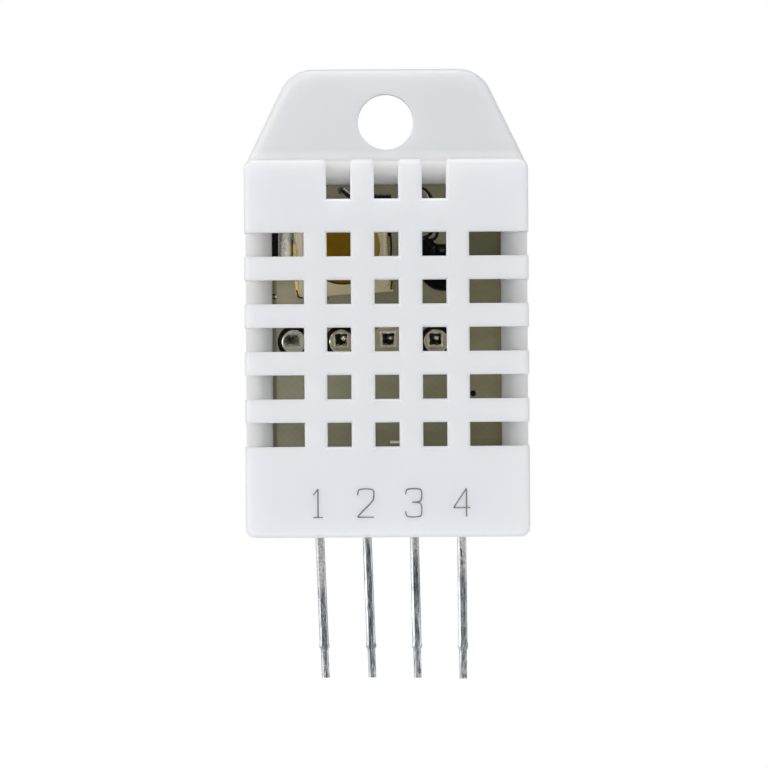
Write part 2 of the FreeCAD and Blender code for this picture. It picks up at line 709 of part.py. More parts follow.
def make_leads(drilled, plate, bead):
    """Leads from the board's holes to the top of the plate and to the neck of the bead."""
    doc.recompute()
    holes = {}
    for number, name in enumerate(LEAD_HOLES):
        place = drilled.getPoint(number, 3)
        holes[name] = (place.x + size("board_shift"), place.y)
    board_front = -plate.Placement.Base.y
    tail = board_front - size("board_thickness") - size("lead_tail")

    x, z = holes["humidity"]
    on_plate = (board_front + size("element_stand") + size("element_thickness")
                + size("lead_diameter") / 2)
    plate_half = size("element_size") / 2
    run_x = plate.Placement.Base.x + plate_half - size("humidity_lead_inset")
    run_z = plate.Placement.Base.z + plate_half + size("humidity_lead_lift")
    make_lead("humidity_lead", [(x, tail, z), (x, on_plate, z),
                                (x + size("humidity_lead_slant"), on_plate, run_z),
                                (run_x, on_plate, run_z)])

    bead_depth = -bead.Placement.Base.y
    for side, sign in (("left", -1), ("right", 1)):
        x, z = holes[side]
        rise = board_front + size("lead_rise")
        points = [(x, tail, z), (x, rise, z)]
        if side == "left":
            points.append((x + size("arch_width"), rise + size("arch_rise"), z + size("arch_lift")))
        for run in (size(f"{side}_lead_run"), 0):
            spot = FreeCAD.Vector(sign * size("lead_spread"), 0, size("neck_reach") + run)
            spot = bead.Placement.multVec(spot)
            points.append((spot.x, bead_depth, spot.z))
        make_lead(f"thermistor_lead_{side}", points)


def make_lead_joints():
    """Rings of solder round the three lead tails on the board's back."""
    body = new_body("lead_joints", "board_shift", BOARD_BACK)
    for name, (x, z) in LEAD_HOLES.items():
        sketch = front_sketch(body, name + "Cone", "-lead_joint_height")
        circle(sketch, x, z, "lead_joint_diameter")
        circle(sketch, x, z, "lead_diameter")
        pad(body, sketch, "lead_joint_height")


# The thermistor is a bead of black epoxy, drawn out to a neck where the leads leave it
def make_thermistor_bead():
    body = new_body("thermistor_bead", f"{BEAD_X} + board_shift",
                    f"{BOARD_FRONT} + bead_stand + bead_diameter / 2", BEAD_Z)
    turn(body, FreeCAD.Vector(0, -1, 0), "bead_turn")
    sketch = front_sketch(body, "BeadProfile")
    radius = size("bead_diameter") / 2
    neck = size("neck_diameter") / 2
    reach = size("neck_reach")
    shoulder = math.pi / 2 - math.atan2(neck, reach) - math.acos(radius / math.hypot(neck, reach))
    ball = Part.Circle(FreeCAD.Vector(), FreeCAD.Vector(0, 0, 1), radius)
    touch = FreeCAD.Vector(radius * math.cos(shoulder), radius * math.sin(shoulder))
    arc = sketch.addGeometry(Part.ArcOfCircle(ball, -math.pi / 2, shoulder))
    flank = sketch.addGeometry(Part.LineSegment(touch, FreeCAD.Vector(neck, reach)))
    crown = sketch.addGeometry(Part.LineSegment(FreeCAD.Vector(neck, reach),
                                                FreeCAD.Vector(0, reach)))
    axis = sketch.addGeometry(Part.LineSegment(FreeCAD.Vector(0, reach),
                                               FreeCAD.Vector(0, -radius)))
    sketch.addConstraint(Sketcher.Constraint("Tangent", arc, 2, flank, 1))
    for first, second in ((flank, crown), (crown, axis), (axis, arc)):
        sketch.addConstraint(Sketcher.Constraint("Coincident", first, 2, second, 1))
    place_point(sketch, arc, 3, "0", "0")
    place_point(sketch, crown, 1, "neck_diameter / 2", "neck_reach")
    place_point(sketch, axis, 1, "0", "neck_reach")
    number = sketch.addConstraint(Sketcher.Constraint("Diameter", arc, 2 * radius))
    bind(sketch, f"Constraints[{number}]", "bead_diameter")
    sketch.addConstraint(Sketcher.Constraint("PointOnObject", axis, 2, -2))
    revolve(body, sketch)
    return body


# The electronics on the board's back face the rear housing's hollow
def make_microcontroller():
    front = f"({BOARD_BACK} - chip_stand)"
    body, chip = block("microcontroller", "board_shift", f"{front} - chip_thickness", CHIP_Z,
                       "chip_width", "chip_height", "chip_thickness")
    chamfer(body, chip, lambda point: near(point.y, 0), "chip_edge")

    row_half = f"({LEAD_COUNT - 1} / 2 * chip_lead_pitch)"
    leads = new_body("microcontroller_leads", "board_shift", "0", CHIP_Z)
    half = "(chip_height / 2)"
    knee = "(chip_height / 2 + chip_lead_knee)"
    toe = "(chip_lead_span / 2)"
    high = f"({front} - chip_thickness / 2)"
    thick = "chip_lead_thickness"
    corners = [(f"{high} + {thick} / 2", half), (f"{high} + {thick} / 2", f"({knee} - {thick})"),
               (BOARD_BACK, knee), (BOARD_BACK, toe), (f"{BOARD_BACK} - {thick}", toe),
               (f"{BOARD_BACK} - {thick}", f"({knee} + {thick})"),
               (f"{high} - {thick} / 2", knee), (f"{high} - {thick} / 2", half)]
    for name, way in (("UpperLead", ""), ("LowerLead", "-")):
        profile = side_sketch(leads, name, f"-{row_half} - chip_lead_width / 2")
        outline(profile, [(f"-({depth})", way + up) for depth, up in corners])
        row_of(leads, pad(leads, profile, "chip_lead_width"), "N_Axis", "chip_lead_pitch",
               LEAD_COUNT)


def make_chip_parts():
    caps = new_body("chip_end_caps", "board_shift")
    for label, side, row, height in (
            ("decoupling_capacitor", "-", "- lower_row_fall", "capacitor_height"),
            ("pull_up_resistor", "", "- lower_row_fall", "resistor_height"),
            ("filter_capacitor", "-", "+ upper_row_rise", "capacitor_height"),
            ("reference_resistor", "", "+ upper_row_rise", "resistor_height")):
        centre = f"({side}small_row_x)"
        z = f"({CHIP_Z} {row})"
        block(label, f"board_shift + {centre}", f"{BOARD_BACK} - {height}", z,
              "small_length - 2 * cap_length", "small_width", height)
        ends = front_sketch(caps, label + "Ends", f"{BOARD_BACK} - {height}")
        for way in ("-", "+"):
            middle = f"({centre} {way} (small_length - cap_length) / 2)"
            rectangle(ends, f"{middle} - cap_length / 2", f"{middle} + cap_length / 2",
                      f"{z} - small_width / 2", f"{z} + small_width / 2")
        pad(caps, ends, height)


def check_sub_parts():
    """Stops the build where an object failed or a sub-part's shape isn't sound."""
    for thing in doc.Objects:
        if "Invalid" in thing.State or "Error" in thing.State:
            raise ValueError(f"{thing.Label} failed: {thing.State}")
        if thing.TypeId == "PartDesign::Pocket":
            before = thing.BaseFeature.Shape.Volume
            if thing.Shape.Volume >= before:
                raise ValueError(f"{thing.Label} cuts nothing")
    for part in SUB_PARTS:
        if part.Shape.isNull() or not part.Shape.isValid() or not part.Shape.Solids:
            raise ValueError(f"{part.Label} has no sound solid")


make_front_grille()
make_rear_housing()
drilled_board = make_circuit_board()
for place, label in enumerate(PIN_LABELS):
    make_pin(label, place)
make_edge_pads()
make_pin_solder()
make_test_points()
humidity_plate = make_humidity_element()
make_contact_solder()
thermistor_bead = make_thermistor_bead()
make_leads(drilled_board, humidity_plate, thermistor_bead)
make_lead_joints()
make_microcontroller()
make_chip_parts()
doc.recompute()
check_sub_parts()
os.makedirs("parts", exist_ok=True)
for part in SUB_PARTS:
    part.Shape.exportStep(os.path.join("parts", part.Label + ".step"))
    print(part.Label, len(part.Shape.Solids), round(part.Shape.Volume, 3))
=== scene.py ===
import bmesh
import bpy
import math
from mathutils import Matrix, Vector


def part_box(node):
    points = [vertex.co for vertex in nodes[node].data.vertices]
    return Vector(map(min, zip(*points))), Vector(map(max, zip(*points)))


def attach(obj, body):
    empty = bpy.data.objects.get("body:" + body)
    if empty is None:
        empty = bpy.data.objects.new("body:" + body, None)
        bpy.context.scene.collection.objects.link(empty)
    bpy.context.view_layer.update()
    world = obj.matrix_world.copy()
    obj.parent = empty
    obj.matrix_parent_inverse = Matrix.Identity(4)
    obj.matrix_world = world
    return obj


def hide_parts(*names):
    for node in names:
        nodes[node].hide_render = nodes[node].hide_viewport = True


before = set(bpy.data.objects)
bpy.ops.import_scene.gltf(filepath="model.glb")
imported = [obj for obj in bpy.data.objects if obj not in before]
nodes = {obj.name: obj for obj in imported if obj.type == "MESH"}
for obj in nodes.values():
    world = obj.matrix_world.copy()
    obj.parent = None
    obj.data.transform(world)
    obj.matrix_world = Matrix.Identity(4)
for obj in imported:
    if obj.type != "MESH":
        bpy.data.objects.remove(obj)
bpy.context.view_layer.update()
bpy.ops.object.select_all(action="DESELECT")

# The camera stands straight in front of the grille with a long lens, half way down the
# sensor, and rolls a little, so that the sensor's top leans to the left.
# Plain sizes are in millimetres, and MM turns one into the frame's metres.
MM = 0.001
LENS_LENGTH = 327.0
LENS_GATE = 36.0
LENS_NEAR = 0.01
LENS_FAR = 10.0
CAMERA_ROLL = math.radians(0.36)


def at(x, y, z):
    """A place, or a step, given in millimetres."""
    return Vector((x, y, z)) * MM


camera_data = bpy.data.cameras.new("camera")
camera_data.lens = LENS_LENGTH
camera_data.sensor_width = LENS_GATE
camera_data.clip_start = LENS_NEAR
camera_data.clip_end = LENS_FAR
camera = bpy.data.objects.new("camera", camera_data)
camera.location = at(-0.17, -377.7, -14.14)
camera.rotation_euler = (math.radians(90), CAMERA_ROLL, 0)
bpy.context.scene.collection.objects.link(camera)
bpy.context.scene.camera = camera

# The studio is a white tent that is dark only where the lens looks in. Large lamps on the
# left, on the right and above, a small one at its foot, a soft one round the lens and a tiny
# spark beside it light the sensor, which hangs above a plain pale floor.
TENT_LIGHT = 0.34
# A tone of the tent is given by how far from the lens it starts, and by its colour.
TENT_DARK = (0.006, (0.012, 0.012, 0.014, 1))
TENT_RIM = (0.035, (0.85, 0.85, 0.85, 1))
TENT_WHITE = (0.9, (1, 1, 1, 1))
BACKDROP_WHITE = (1, 1, 1, 1)
FLOOR_DROP = 80 * MM
FLOOR_WIDTH = 1.5
FLOOR_PAINT = (0.82, 0.82, 0.83, 1)
FLOOR_ROUGHNESS = 0.7


def put(tree, kind, sockets=None, **settings):
    """Adds a node, sets its own settings, and sets or links its input sockets."""
    made = tree.nodes.new("ShaderNode" + kind)
    for name, value in settings.items():
        setattr(made, name, value)
    for name, value in (sockets or {}).items():
        if isinstance(value, bpy.types.NodeSocket):
            tree.links.new(value, made.inputs[name])
        else:
            made.inputs[name].default_value = value
    return made


def hang_lamp(name, place, width, power):
    """A square lamp that faces the middle of the sensor."""
    lamp_data = bpy.data.lights.new(name, "AREA")
    lamp_data.size = width
    lamp_data.energy = power
    lamp = bpy.data.objects.new(name, lamp_data)
    lamp.location = place
    aim = Vector((0, 0, camera.location.z)) - place
    lamp.rotation_euler = aim.to_track_quat("-Z", "Y").to_euler()
    bpy.context.scene.collection.objects.link(lamp)
    return lamp


world = bpy.data.worlds.new("studio")
bpy.context.scene.world = world
world.use_nodes = True
tent = world.node_tree
tent.nodes.clear()
way = put(tent, "SeparateXYZ", {0: put(tent, "TexCoord").outputs["Generated"]})
from_lens = put(tent, "Math", {0: way.outputs["Y"], 1: 1.0}, operation="ADD")
tent_cloth = put(tent, "ValToRGB", {0: from_lens.outputs[0]})
tones = tent_cloth.color_ramp.elements
tones.new(TENT_RIM[0])
for tone, (reach, colour) in zip(tones, (TENT_DARK, TENT_RIM, TENT_WHITE)):
    tone.position = reach
    tone.color = colour
tent_wall = put(tent, "Background", {"Color": tent_cloth.outputs[0], "Strength": TENT_LIGHT})
backdrop = put(tent, "Background", {"Color": BACKDROP_WHITE})
seen = put(tent, "LightPath").outputs["Is Camera Ray"]
sky = put(tent, "MixShader", {0: seen, 1: tent_wall.outputs[0], 2: backdrop.outputs[0]})
put(tent, "OutputWorld", {0: sky.outputs[0]})
bpy.context.scene.view_settings.view_transform = "Standard"

hang_lamp("left_lamp", place=at(-420, -250, 100), width=460 * MM, power=1.15)
hang_lamp("right_lamp", place=at(420, -250, 50), width=400 * MM, power=0.50)
hang_lamp("top_lamp", place=at(0, -60, 430), width=260 * MM, power=0.75)
hang_lamp("foot_lamp", place=at(0, -60, -74), width=60 * MM, power=0.008)
lens_lamp = hang_lamp("lens_lamp", place=at(-0.17, -365, -14.14), width=16 * MM, power=0.28)
lens_lamp.visible_camera = False
lens_lamp.visible_glossy = False
hang_lamp("spark_lamp", place=at(2, -365, -4.5), width=7 * MM, power=0.0004)

bpy.ops.mesh.primitive_plane_add(size=FLOOR_WIDTH, location=(0, 0, -FLOOR_DROP))
floor = bpy.context.object
floor.name = "floor"
floor_paint = bpy.data.materials.new("floor_paint")
floor_paint.use_nodes = True
floor_shader = floor_paint.node_tree.nodes["Principled BSDF"]
floor_shader.inputs["Base Color"].default_value = FLOOR_PAINT
floor_shader.inputs["Roughness"].default_value = FLOOR_ROUGHNESS
floor.data.materials.append(floor_paint)

# The rear housing is one white moulding with the hanging tab. Its satin skin comes from a
# finely spark-eroded mould, and the plastic lets light a little way in, which softens it.
# The tab is painted greyer than the body below it, as painted shade, and the body is painted
# whiter, as painted light on its walls inside the slots.
TAB_PAINTED_SHADE_WHITE = (0.735, 0.745, 0.765)
TAB_PAINTED_SHADE_GREY = (0.72, 0.73, 0.75)
BODY_PAINTED_LIGHT_WHITE = (0.965, 0.955, 0.935)
TAB_PAINTED_SHADE_RUN = (-1.5, -2.3)
SATIN = {"patch": 160.0, "grain": 5200.0, "gloss": 0.32, "matt": 0.46, "depth": 0.12}
WHITE_PLASTIC = {"Subsurface Weight": 1.0, "Subsurface Radius": (1.0, 0.95, 0.9),
                 "Subsurface Scale": 1.6 * MM, "IOR": 1.5}
PATCH_DETAIL = 4.0
PATCH_SPREAD = (0.35, 0.65)
GRAIN_DETAIL = 3.0
GRAIN_SPREAD = (0.3, 0.7)
GRAIN_RISE = 0.02 * MM
SKIN_ROUGHNESS = 0.6


def noise(tree, place, scale, detail=2.0, roughness=0.5):
    """A cloudy value that changes with the place."""
    clouds = put(tree, "TexNoise", {"Vector": place, "Scale": scale, "Detail": detail,
                                    "Roughness": roughness})
    return clouds.outputs["Fac"]


def span(tree, value, low, high, start=0.0, end=1.0):
    """Turns a value's run from low to high into one from start to end, held at both ends."""
    run = put(tree, "MapRange", {"Value": value, "From Min": low, "From Max": high,
                                 "To Min": start, "To Max": end})
    return run.outputs[0]


def fade(tree, value, run, end=1.0):
    """Rises from 0 to end while a length runs between two sizes in millimetres."""
    return span(tree, value, run[0] * MM, run[1] * MM, 0.0, end)


def blend(tree, share, own, other, how="MIX"):
    """Mixes a share of another colour into its own; each is a socket or three values."""
    own, other = (colour if isinstance(colour, bpy.types.NodeSocket) else (*colour, 1)
                  for colour in (own, other))
    # The two colours of this node are its sockets 6 and 7, and its result is output 2.
    mixed = put(tree, "Mix", {0: share, 6: own, 7: other}, data_type="RGBA", blend_type=how)
    return mixed.outputs[2]


def own_place(tree):
    """The place of each point in the piece's own mesh."""
    return put(tree, "TexCoord").outputs["Object"]


def new_group(name, inputs, outputs):
    """An empty shader node group, with the kinds of its inputs and outputs."""
    group = bpy.data.node_groups.new(name, "ShaderNodeTree")
    for in_out, sockets in (("INPUT", inputs), ("OUTPUT", outputs)):
        for socket, kind in sockets.items():
            group.interface.new_socket(socket, in_out=in_out, socket_type="NodeSocket" + kind)
    return group, group.nodes.new("NodeGroupInput").outputs, group.nodes.new("NodeGroupOutput")


def make_skin():
    """Two tones in soft patches, with a fine grain in the gloss and the height."""
    group, given, result = new_group(
        "skin",
        {"Vector": "Vector", "Light": "Color", "Shade": "Color", "Patch": "Float",
         "Grain": "Float", "Gloss": "Float", "Matt": "Float", "Depth": "Float"},
        {"Color": "Color", "Roughness": "Float", "Normal": "Vector"})
    slow = noise(group, given["Vector"], given["Patch"], PATCH_DETAIL, SKIN_ROUGHNESS)
    colour = blend(group, span(group, slow, *PATCH_SPREAD), given["Light"], given["Shade"])
    fine = noise(group, given["Vector"], given["Grain"], GRAIN_DETAIL, SKIN_ROUGHNESS)
    polish = span(group, fine, *GRAIN_SPREAD, given["Gloss"], given["Matt"])
    bump = put(group, "Bump", {"Height": fine, "Strength": given["Depth"],
                               "Distance": GRAIN_RISE})
    group.links.new(colour, result.inputs["Color"])
    group.links.new(polish, result.inputs["Roughness"])
    group.links.new(bump.outputs[0], result.inputs["Normal"])
    return group


skin_group = make_skin()


def finish(name, light, shade, patch, grain, gloss, matt, depth, stretch=(1, 1, 1), shader=None):
    """A material with the skin's tones and grain, which stretch draws out along an axis."""
    material = bpy.data.materials.new(name)
    material.use_nodes = True
    tree = material.node_tree
    surface = tree.nodes["Principled BSDF"]
    for socket, value in (shader or {}).items():
        surface.inputs[socket].default_value = value
    place = put(tree, "Mapping", {0: own_place(tree), 3: stretch})
    skin = put(tree, "Group", {"Vector": place.outputs[0], "Light": (*light, 1),
                               "Shade": (*shade, 1), "Patch": patch, "Grain": grain,
                               "Gloss": gloss, "Matt": matt, "Depth": depth},
               node_tree=skin_group)
    tree.links.new(skin.outputs["Color"], surface.inputs["Base Color"])
    tree.links.new(skin.outputs["Roughness"], surface.inputs["Roughness"])
    tree.links.new(skin.outputs["Normal"], surface.inputs["Normal"])
    return material


def opened(material):
    """A material's nodes, its shader and the colour that the shader has so far."""
    tree = material.node_tree
    surface = tree.nodes["Principled BSDF"]
    return tree, surface, surface.inputs["Base Color"].links[0].from_socket


def tint(material, axis, run, colour):
    """Fades the material's colour into another one along an axis, over a run of places."""
    tree, surface, plain = opened(material)
    along = put(tree, "SeparateXYZ", {0: own_place(tree)}).outputs[axis]
    tinted = blend(tree, fade(tree, along, run), plain, colour)
    tree.links.new(tinted, surface.inputs["Base Color"])


def dress(piece, material):
    """Gives the whole piece one material."""
    piece.data.materials.clear()
    piece.data.materials.append(material)
    for face in piece.data.polygons:
        face.material_index = 0


housing_plastic = finish("housing_plastic", TAB_PAINTED_SHADE_WHITE, TAB_PAINTED_SHADE_GREY, **SATIN, shader=WHITE_PLASTIC)
# Painted shade on the tab and painted light on the body below it.
tint(housing_plastic, "Z", TAB_PAINTED_SHADE_RUN, BODY_PAINTED_LIGHT_WHITE)
dress(nodes["rear_housing"], housing_plastic)

# The circuit board is a glass and epoxy laminate with an olive lacquer. The weave shows
# through it in faint streaks, and a bare brownish margin runs down the left edge. The lacquer
# is painted paler on the left, as painted light, and darker on the right, at the foot and in
# the upper right corner, as painted shade.
BOARD_LIGHT = (0.365, 0.345, 0.205)
BOARD_DARK = (0.255, 0.242, 0.140)
BOARD_STREAKS = (0.35, 1, 1)
# Painted light on the left, and painted shade on the right, at the foot and in the corner.
LEFT_PAINTED_LIGHT = (1.24, 1.25, 1.58)
RIGHT_PAINTED_SHADE = (0.86, 0.86, 0.86)
SIDE_LIGHT_RUN = (-6, 6)
FOOT_PAINTED_SHADE = (0.81, 0.81, 0.81)
FOOT_SHADE_RUN = (-15.2, -16.8)
CORNER = at(5.4, 0, -6.4)
CORNER_PAINTED_SHADE = (0.66, 0.66, 0.66)
CORNER_SHADE_RUN = (1.9, 0.9)
BARE_MARGIN = (0.22, 0.21, 0.135)
MARGIN_FADE = (-5.98, -5.86)
WEAVE_PITCH = 0.42
WEAVE_TONE = (0.98, 1.02)
WEAVE_STRENGTH = 0.1
WEAVE_RISE = 0.01 * MM


def make_weave():
    """The over and under of a woven cloth, from -Y, as a height from 0 to 1."""
    group, given, result = new_group("weave", {"Vector": "Vector", "Pitch": "Float"},
                                     {"Height": "Float"})
    scaled = put(group, "VectorMath", {0: given["Vector"], 1: given["Pitch"]},
                 operation="DIVIDE")
    parts = put(group, "SeparateXYZ", {0: scaled.outputs[0]})
    threads = []
    for along in ("X", "Z"):
        turns = put(group, "Math", {0: parts.outputs[along], 1: math.tau}, operation="MULTIPLY")
        threads.append(put(group, "Math", {0: turns.outputs[0]}, operation="SINE").outputs[0])
    crossed = put(group, "Math", {0: threads[0], 1: threads[1]}, operation="MULTIPLY")
    group.links.new(span(group, crossed.outputs[0], -1.0, 1.0), result.inputs["Height"])
    return group


def emboss(tree, surface, height, strength, distance):
    """Adds a height to the bumps that the shader has so far."""
    bump = put(tree, "Bump", {"Height": height, "Strength": strength, "Distance": distance,
                              "Normal": surface.inputs["Normal"].links[0].from_socket})
    tree.links.new(bump.outputs[0], surface.inputs["Normal"])


laminate = finish("olive_laminate", BOARD_LIGHT, BOARD_DARK, patch=420.0, grain=3000.0,
                  gloss=0.45, matt=0.65, depth=0.05, stretch=BOARD_STREAKS,
                  shader={"Specular IOR Level": 0.15})
tree, surface, lacquer = opened(laminate)
place = own_place(tree)
parts = put(tree, "SeparateXYZ", {0: place}).outputs
from_shaded_corner = put(tree, "VectorMath", {0: place, 1: CORNER}, operation="SUBTRACT")
on_face = put(tree, "VectorMath", {0: from_shaded_corner.outputs[0], 1: (1, 0, 1)},
              operation="MULTIPLY")
shaded_corner_reach = put(tree, "VectorMath", {0: on_face.outputs[0]},
                   operation="LENGTH").outputs["Value"]
weave = put(tree, "Group", {"Vector": place, "Pitch": WEAVE_PITCH * MM},
            node_tree=make_weave()).outputs["Height"]
threads = span(tree, weave, 0.0, 1.0, *WEAVE_TONE)
lacquer = blend(tree, 1.0, lacquer, threads, "MULTIPLY")
# Painted light and painted shade across the board, at its foot and in the upper right corner.
side_light_and_shade = blend(tree, fade(tree, parts["X"], SIDE_LIGHT_RUN), LEFT_PAINTED_LIGHT, RIGHT_PAINTED_SHADE)
lacquer = blend(tree, 1.0, lacquer, side_light_and_shade, "MULTIPLY")
lacquer = blend(tree, fade(tree, parts["Z"], FOOT_SHADE_RUN), lacquer, FOOT_PAINTED_SHADE, "MULTIPLY")
lacquer = blend(tree, fade(tree, shaded_corner_reach, CORNER_SHADE_RUN), lacquer, CORNER_PAINTED_SHADE, "MULTIPLY")
covered = blend(tree, fade(tree, parts["X"], MARGIN_FADE), BARE_MARGIN, lacquer)
tree.links.new(covered, surface.inputs["Base Color"])
emboss(tree, surface, weave, WEAVE_STRENGTH, WEAVE_RISE)
dress(nodes["circuit_board"], laminate)
board_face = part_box("circuit_board")[0].y

# A printed dash, a small round splash of flux with a light heart, a speck and a black drop
# over a small plated hole lie on the board's face. Each is thin raised ink or resin; the drop
# is painted shade in the hole.
DASH = at(0.40, 0, -17.26)
DASH_SIZE = at(0.52, 0.05, 0.15)
DASH_RISE = 0.004 * MM
DASH_EASE = 0.02 * MM
DASH_CROWN = (0.97, 1, 0.85)
SPLASH = at(-6.03, 0, -9.42)
SPLASH_RADIUS = 0.12
SPLASH_TURNS = (0.9, 1.7, 2.6, 3.5, 4.4, 5.3)
SPLASH_THICKNESS = 0.035 * MM


def start(name):
    """Names the primitive that was just added and puts its place into its mesh."""
    piece = bpy.context.object
    piece.name = name
    bpy.ops.object.transform_apply(location=True, rotation=True, scale=True)
    return piece


def pick(piece, kind, test=lambda part: True):
    """Opens a piece's mesh with only the faces, edges or verts that pass the test selected."""
    bpy.ops.object.select_all(action="DESELECT")
    bpy.context.view_layer.objects.active = piece
    piece.select_set(True)
    bpy.ops.object.mode_set(mode="EDIT")
    bpy.ops.mesh.select_mode(type={"faces": "FACE", "edges": "EDGE", "verts": "VERT"}[kind])
    bpy.ops.mesh.select_all(action="DESELECT")
    mesh = bmesh.from_edit_mesh(piece.data)
    for part in getattr(mesh, kind):
        if test(part):
            part.select_set(True)
    mesh.select_flush_mode()
    bmesh.update_edit_mesh(piece.data)


def close(piece, smooth=True):
    """Leaves edit mode and shades the piece."""
    bpy.ops.object.mode_set(mode="OBJECT")
    if smooth:
        bpy.ops.object.shade_smooth()
    return piece


def fit(piece, slot, material, *stands_for):
    """Dresses a finished piece and lets it ride, in place of the CAD nodes that it stands for."""
    dress(piece, material)
    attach(piece, "root")
    if stands_for:
        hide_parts(*stands_for)


def wire(name, points, radius, facets=3, swell=()):
    """A round wire that bends smoothly along its points; swell changes its radius at each."""
    bpy.ops.curve.primitive_nurbs_path_add()
    path = bpy.context.object
    path.data.splines.clear()
    spline = path.data.splines.new("NURBS")
    spline.points.add(len(points) - 1)
    for point, place in zip(spline.points, points):
        point.co = (*place, 1)
    for point, factor in zip(spline.points, swell):
        point.radius = factor
    spline.order_u = 3
    spline.use_endpoint_u = True
    path.data.resolution_u = 10
    path.data.bevel_depth = radius
    path.data.bevel_resolution = facets
    path.data.use_fill_caps = True
    bpy.ops.object.convert(target="MESH")
    piece = start(name)
    bpy.ops.object.shade_smooth()
    return piece


def drop(name, place, radius, height=1.0):
    """A round drop on the board's face; height flattens it."""
    bpy.ops.mesh.primitive_uv_sphere_add(segments=24, ring_count=12, radius=radius,
                                         location=(place.x, board_face, place.z),
                                         scale=(1, height, 1))
    piece = start(name)
    bpy.ops.object.shade_smooth()
    return piece


cream_ink = finish("printing_ink", light=(1.0, 0.98, 0.86), shade=(0.92, 0.90, 0.78),
                   patch=2500.0, grain=9000.0, gloss=0.5, matt=0.7, depth=0.2)
# The black resin serves the flux marks, and also paints shade and dark reflections.
black_flux_and_shade = finish("flux_resin_and_painted_shade", light=(0.003, 0.003, 0.006), shade=(0.010, 0.009, 0.012),
                    patch=2400.0, grain=9000.0, gloss=0.15, matt=0.45, depth=0.1,
                    shader={"Specular IOR Level": 0.12})
bpy.ops.mesh.primitive_cube_add(size=1, scale=DASH_SIZE,
                                location=(DASH.x, board_face - DASH_RISE, DASH.z))
dash = start("printed_dash")
pick(dash, "faces", lambda face: face.normal.y < -0.5)
bpy.ops.mesh.inset(thickness=DASH_EASE)
bpy.ops.transform.resize(value=DASH_CROWN, center_override=DASH)
close(dash)
fit(dash, "board", cream_ink)
arc = [SPLASH + at(math.cos(turn), 0, math.sin(turn)) * SPLASH_RADIUS for turn in SPLASH_TURNS]
splash = wire("flux_splash", [Vector((spot.x, board_face, spot.z)) for spot in arc],
              SPLASH_THICKNESS)
fit(splash, "board", black_flux_and_shade)
fit(drop("splash_heart", at(-5.94, 0, -9.43), radius=0.055 * MM), "board", cream_ink)
fit(drop("flux_speck", at(-3.13, 0, -9.55), radius=0.035 * MM), "board", black_flux_and_shade)
# The black drop is painted shade in a small plated hole.
fit(drop("hole_shade_drop", at(4.60, 0, -14.68), radius=0.155 * MM, height=0.3), "board", black_flux_and_shade)

# The microcontroller is a moulded epoxy package on the back of the board, with tinned legs.
# Two capacitors and two resistors stand beside it, with tinned end caps.
METAL = {"Metallic": 1.0}
tinned = finish("tin_plating", light=(0.74, 0.73, 0.70), shade=(0.60, 0.59, 0.56),
                patch=900.0, grain=6000.0, gloss=0.22, matt=0.42, depth=0.15, shader=METAL)
moulded_epoxy = finish("moulded_epoxy", light=(0.045, 0.045, 0.048), shade=(0.03, 0.03, 0.033),
                       patch=700.0, grain=5000.0, gloss=0.5, matt=0.75, depth=0.35)
fired_clay = finish("fired_capacitor_clay", light=(0.42, 0.30, 0.18), shade=(0.34, 0.24, 0.14),
                    patch=1500.0, grain=7000.0, gloss=0.45, matt=0.65, depth=0.25)
black_glaze = finish("black_resistor_glaze", light=(0.025, 0.025, 0.03),
                     shade=(0.05, 0.05, 0.055), patch=1800.0, grain=6000.0, gloss=0.2,
                     matt=0.45, depth=0.15)
dress(nodes["microcontroller"], moulded_epoxy)
dress(nodes["microcontroller_leads"], tinned)
dress(nodes["chip_end_caps"], tinned)
for capacitor in ("decoupling_capacitor", "filter_capacitor"):
    dress(nodes[capacitor], fired_clay)
for resistor in ("pull_up_resistor", "reference_resistor"):
    dress(nodes[resistor], black_glaze)

# Four round solder joints stand in a row on tinned ring pads. Each is a low button with a
# mirror-bright, slightly crowned top, hazed on the first. A black glossy ring round each
# foot is a painted dark reflection in the joint's steep flank; the third has spread wider
# and gets no ring.
JOINT_Z = -11.86
JOINT_X = (-4.98, -2.44, 0.10, 2.64)
JOINT_HEIGHT = 0.35
JOINT_RADIUS = 0.665
JOINT_TILT = {"X": math.radians(-1.1), "Z": math.radians(0.4)}
SPREAD_JOINT = 2
SPREAD_RADIUS = 0.93
CROWN_RADIUS = 7.0
CROWN_EASE = 0.35
CROWN_RINGS = 9
EDGE_ROUND = 0.09
EDGE_TURNS = (20, 40, 60, 80)
# The black ring round a joint's foot is a painted dark reflection.
DARK_RING_REACH = 0.88
DARK_RING_TOP = 0.24
DARK_RING_STEPS = ((DARK_RING_REACH, 0.0), (DARK_RING_REACH, 0.06), (DARK_RING_REACH - 0.05, 0.1),
              (JOINT_RADIUS + 0.03, 0.2), (JOINT_RADIUS - 0.02, DARK_RING_TOP), (0.2, DARK_RING_TOP))


def join(name, pieces):
    """Makes several meshes one piece."""
    bpy.ops.object.select_all(action="DESELECT")
    for piece in pieces:
        piece.select_set(True)
    bpy.context.view_layer.objects.active = pieces[0]
    bpy.ops.object.join()
    pieces[0].name = name
    return pieces[0]


def turned(name, centre, rings, sides=72):
    """A round piece that rises off the board ring by ring; a ring is (radius, height)."""
    radius, height = rings[0]
    bpy.ops.mesh.primitive_circle_add(vertices=sides, radius=radius * MM, fill_type="NGON",
                                      location=centre - at(0, height, 0),
                                      rotation=(math.radians(90), 0, 0))
    piece = start(name)
    pick(piece, "faces")
    for reach, rise in rings[1:]:
        bpy.ops.mesh.extrude_region_move(
            TRANSFORM_OT_translate={"value": at(0, height - rise, 0), "orient_type": "GLOBAL"})
        bpy.ops.transform.resize(value=(reach / radius, 1, reach / radius),
                                 center_override=centre - at(0, rise, 0))
        radius, height = reach, rise
    return close(piece)


